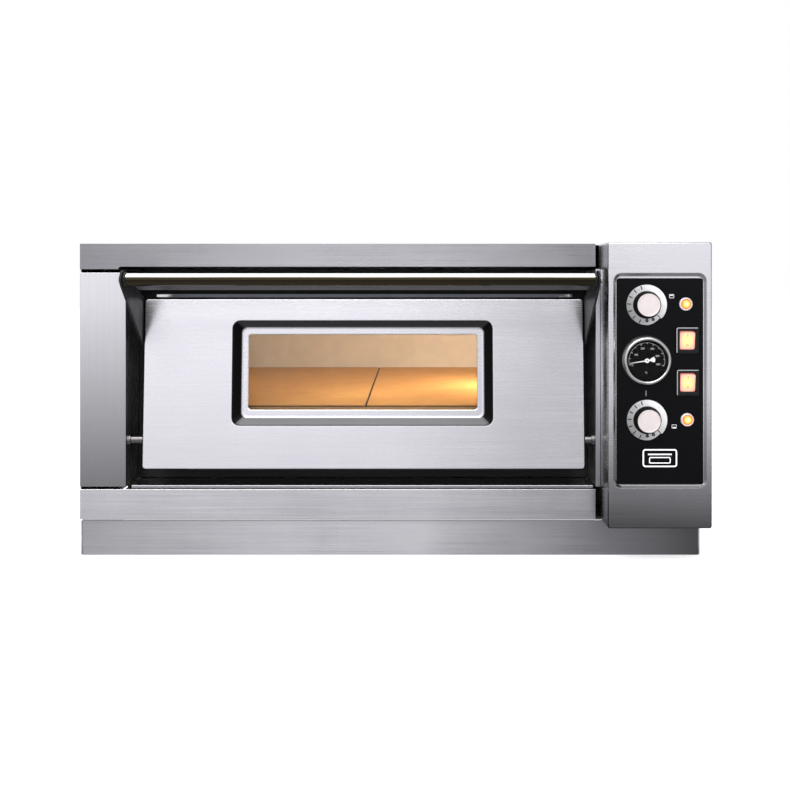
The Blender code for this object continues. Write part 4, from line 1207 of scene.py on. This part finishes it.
def make_metals_and_plastics():
    plain("bezel", (0.80, 0.79, 0.78), 0.12, 1.0, 0.03, bump=0.01)
    plain("flange", (0.45, 0.44, 0.43), 0.18, 1.0, 0.03, bump=0.01)
    plain("pin", (0.22, 0.21, 0.205), 0.25, 1.0, 0.03, bump=0.01)
    plain("arm", (0.010, 0.010, 0.011), 0.4, specular=0.25)
    plain("knob", (0.004, 0.004, 0.004), 0.5, specular=0.05)
    plain("black", (0.008, 0.008, 0.009), 0.4, specular=0.2)
    plain("face", (0.002, 0.002, 0.002), 0.5, bump=0.02, specular=0.1)
    plain("overlay", (0.002, 0.002, 0.0025), 0.30, bump=0.02, specular=0.12)
    plain("heater", (0.10, 0.09, 0.085), 0.5, 0.7)
    plain("silver", (0.78, 0.77, 0.78), 0.35, 0.35, 0.04, bump=0.02)
    # Painted shade: the dial darkens towards its left and lower edges, as the light falls from above
    # right.
    plain("dial", (0.96, 0.95, 0.95), 0.35, 0.35, 0.04, bump=0.02,
          painted_shade=[("X", -0.024, 0.008, 0.40), ("Y", -0.024, 0.012, 0.50)])
    plain("cap", (0.64, 0.575, 0.565), 0.40, 0.2, 0.05, 60.0, 0.02)
    plain("lamp_ring", (0.84, 0.82, 0.80), 0.35, 0.4, bump=0.01)


def make_paints():
    plain("index", (0.16, 0.20, 0.26), 0.5)
    plain("rocker_print", (0.55, 0.20, 0.08), 0.5)
    plain("white", (0.90, 0.90, 0.88), 0.5)
    plain("print", (0.88, 0.88, 0.90), 0.5)
    plain("grey_print", (0.60, 0.60, 0.60), 0.5)
    plain("faint_print", (0.26, 0.25, 0.26), 0.5)


def make_chamber_materials():
    plain("liner", (0.80, 0.77, 0.74), 0.75, specular=0.2)
    plain("grout", (0.035, 0.020, 0.012), 0.95, bump=0.5, specular=0.0)
    plain("stone", (0.66, 0.37, 0.13), 0.95, variation=0.08, bump=0.4, specular=0.0)
    plain("wool", (0.24, 0.22, 0.17), 0.95, variation=0.2, bump=0.8)
    plain("seal", (0.95, 0.54, 0.24), 0.8, variation=0.1, bump=0.3)
    plain("ceramic", (0.70, 0.68, 0.62), 0.6)


def make_glass_and_lamps():
    clear_glass("glass", (0.96, 0.95, 0.92))
    clear_glass("dial_glass", (0.98, 0.98, 0.98), 1.12)
    warm = ((0.0, (1.0, 0.70, 0.35)), (1.0, GLOW_WHITE))
    glowing("lamp", (0.05, 0.05, 0.05), warm, 3.0)
    amber = ((0.0, (0.40, 0.06, 0.02)), (0.15, (0.90, 0.14, 0.03)), (0.40, (1.0, 0.28, 0.05)),
             (0.58, (1.0, 0.55, 0.10)), (0.78, (1.0, 0.80, 0.28)), (1.0, GLOW_WHITE))
    glowing("lamp_amber", (0.0074, 0.0074, 0.03), amber, 1.0)
    key = ((0.0, (0.72, 0.25, 0.20)), (0.25, (0.88, 0.36, 0.26)), (0.55, (0.98, 0.46, 0.20)),
           (0.78, (1.0, 0.70, 0.16)), (1.0, (1.0, 0.92, 0.40)))
    glowing("rocker", (0.0135, 0.0160, 0.03), key, 0.62)


def make_materials():
    floor_paper("floor")
    make_steels()
    make_metals_and_plastics()
    make_paints()
    make_chamber_materials()
    make_glass_and_lamps()


NODE_MATERIALS = {
    "steel_x": ("plinth_back",),
    "lower": ("lower_fascia",),
    "pillar": ("left_pillar",),
    "plinth": ("plinth_front",),
    "steel_y": ("plinth_left", "plinth_right"),
    "steel_z": ("right_jamb",),
    "fascia": ("top_fascia",),
    "inner": ("base_pan", "door_inner_panel"),
    "divider": ("electrics_divider",),
    "mouth": ("mouth_frame",),
    "liner": ("chamber_floor", "chamber_ceiling", "chamber_left_wall", "chamber_right_wall",
              "chamber_back_wall"),
    "polished": ("door_sill",),
    "pin": ("hinge_pin_left", "hinge_pin_right"),
    "overlay": ("control_overlay",),
    "stone": ("stone_slab_left", "stone_slab_right"),
    "wool": ("insulation_top", "insulation_floor", "insulation_left", "insulation_right",
             "insulation_back", "door_insulation"),
    "heater": ("ceiling_heater", "floor_heater"),
    "glass": ("window_glass_outer", "window_glass_inner"),
    "dial_glass": ("thermometer_glass",),
    "lamp": ("chamber_lamp",),
    "ceramic": ("thermostat_top", "thermostat_floor"),
}


def dress_nodes():
    for finish, names in NODE_MATERIALS.items():
        for name in names:
            slots_of_node = NODES[name].data.materials
            slots_of_node.clear()
            slots_of_node.append(MATERIALS[finish])


def soften_nodes(names, width):
    """Welded, bevelled edges on the CAD's folded sheets."""
    for name in names:
        node = NODES[name]
        for polygon in node.data.polygons:
            polygon.use_smooth = True
        weld = node.modifiers.new("weld", "WELD")
        weld.merge_threshold = 0.00001
        flat = node.modifiers.new("flat", "DECIMATE")
        flat.decimate_type = "DISSOLVE"
        flat.angle_limit = math.radians(1)
        soften(node, width)


FOLDED_SHEETS = ("plinth_front", "plinth_left", "plinth_right", "plinth_back", "lower_fascia",
                 "left_pillar", "right_jamb", "top_fascia", "door_sill", "mouth_frame")


def main():
    bpy.context.scene.view_settings.view_transform = "Standard"
    add_camera()
    add_world()
    make_materials()
    add_floor()
    add_area("key_box", (-0.3, -2.0, 2.3), (0, -0.3, 0.25), (3.2, 1.6), 3.5)
    add_area("top_box", (0, 0.6, 3.0), (0, 0.2, 0), (3.5, 2.0), 1.2)
    add_chamber_light()
    dress_nodes()
    build_door_skin()
    build_handle()
    build_arms()
    build_hood()
    build_control_box()
    build_controls()
    build_covers()
    build_inside()
    soften_nodes(FOLDED_SHEETS, 0.0005)


main()
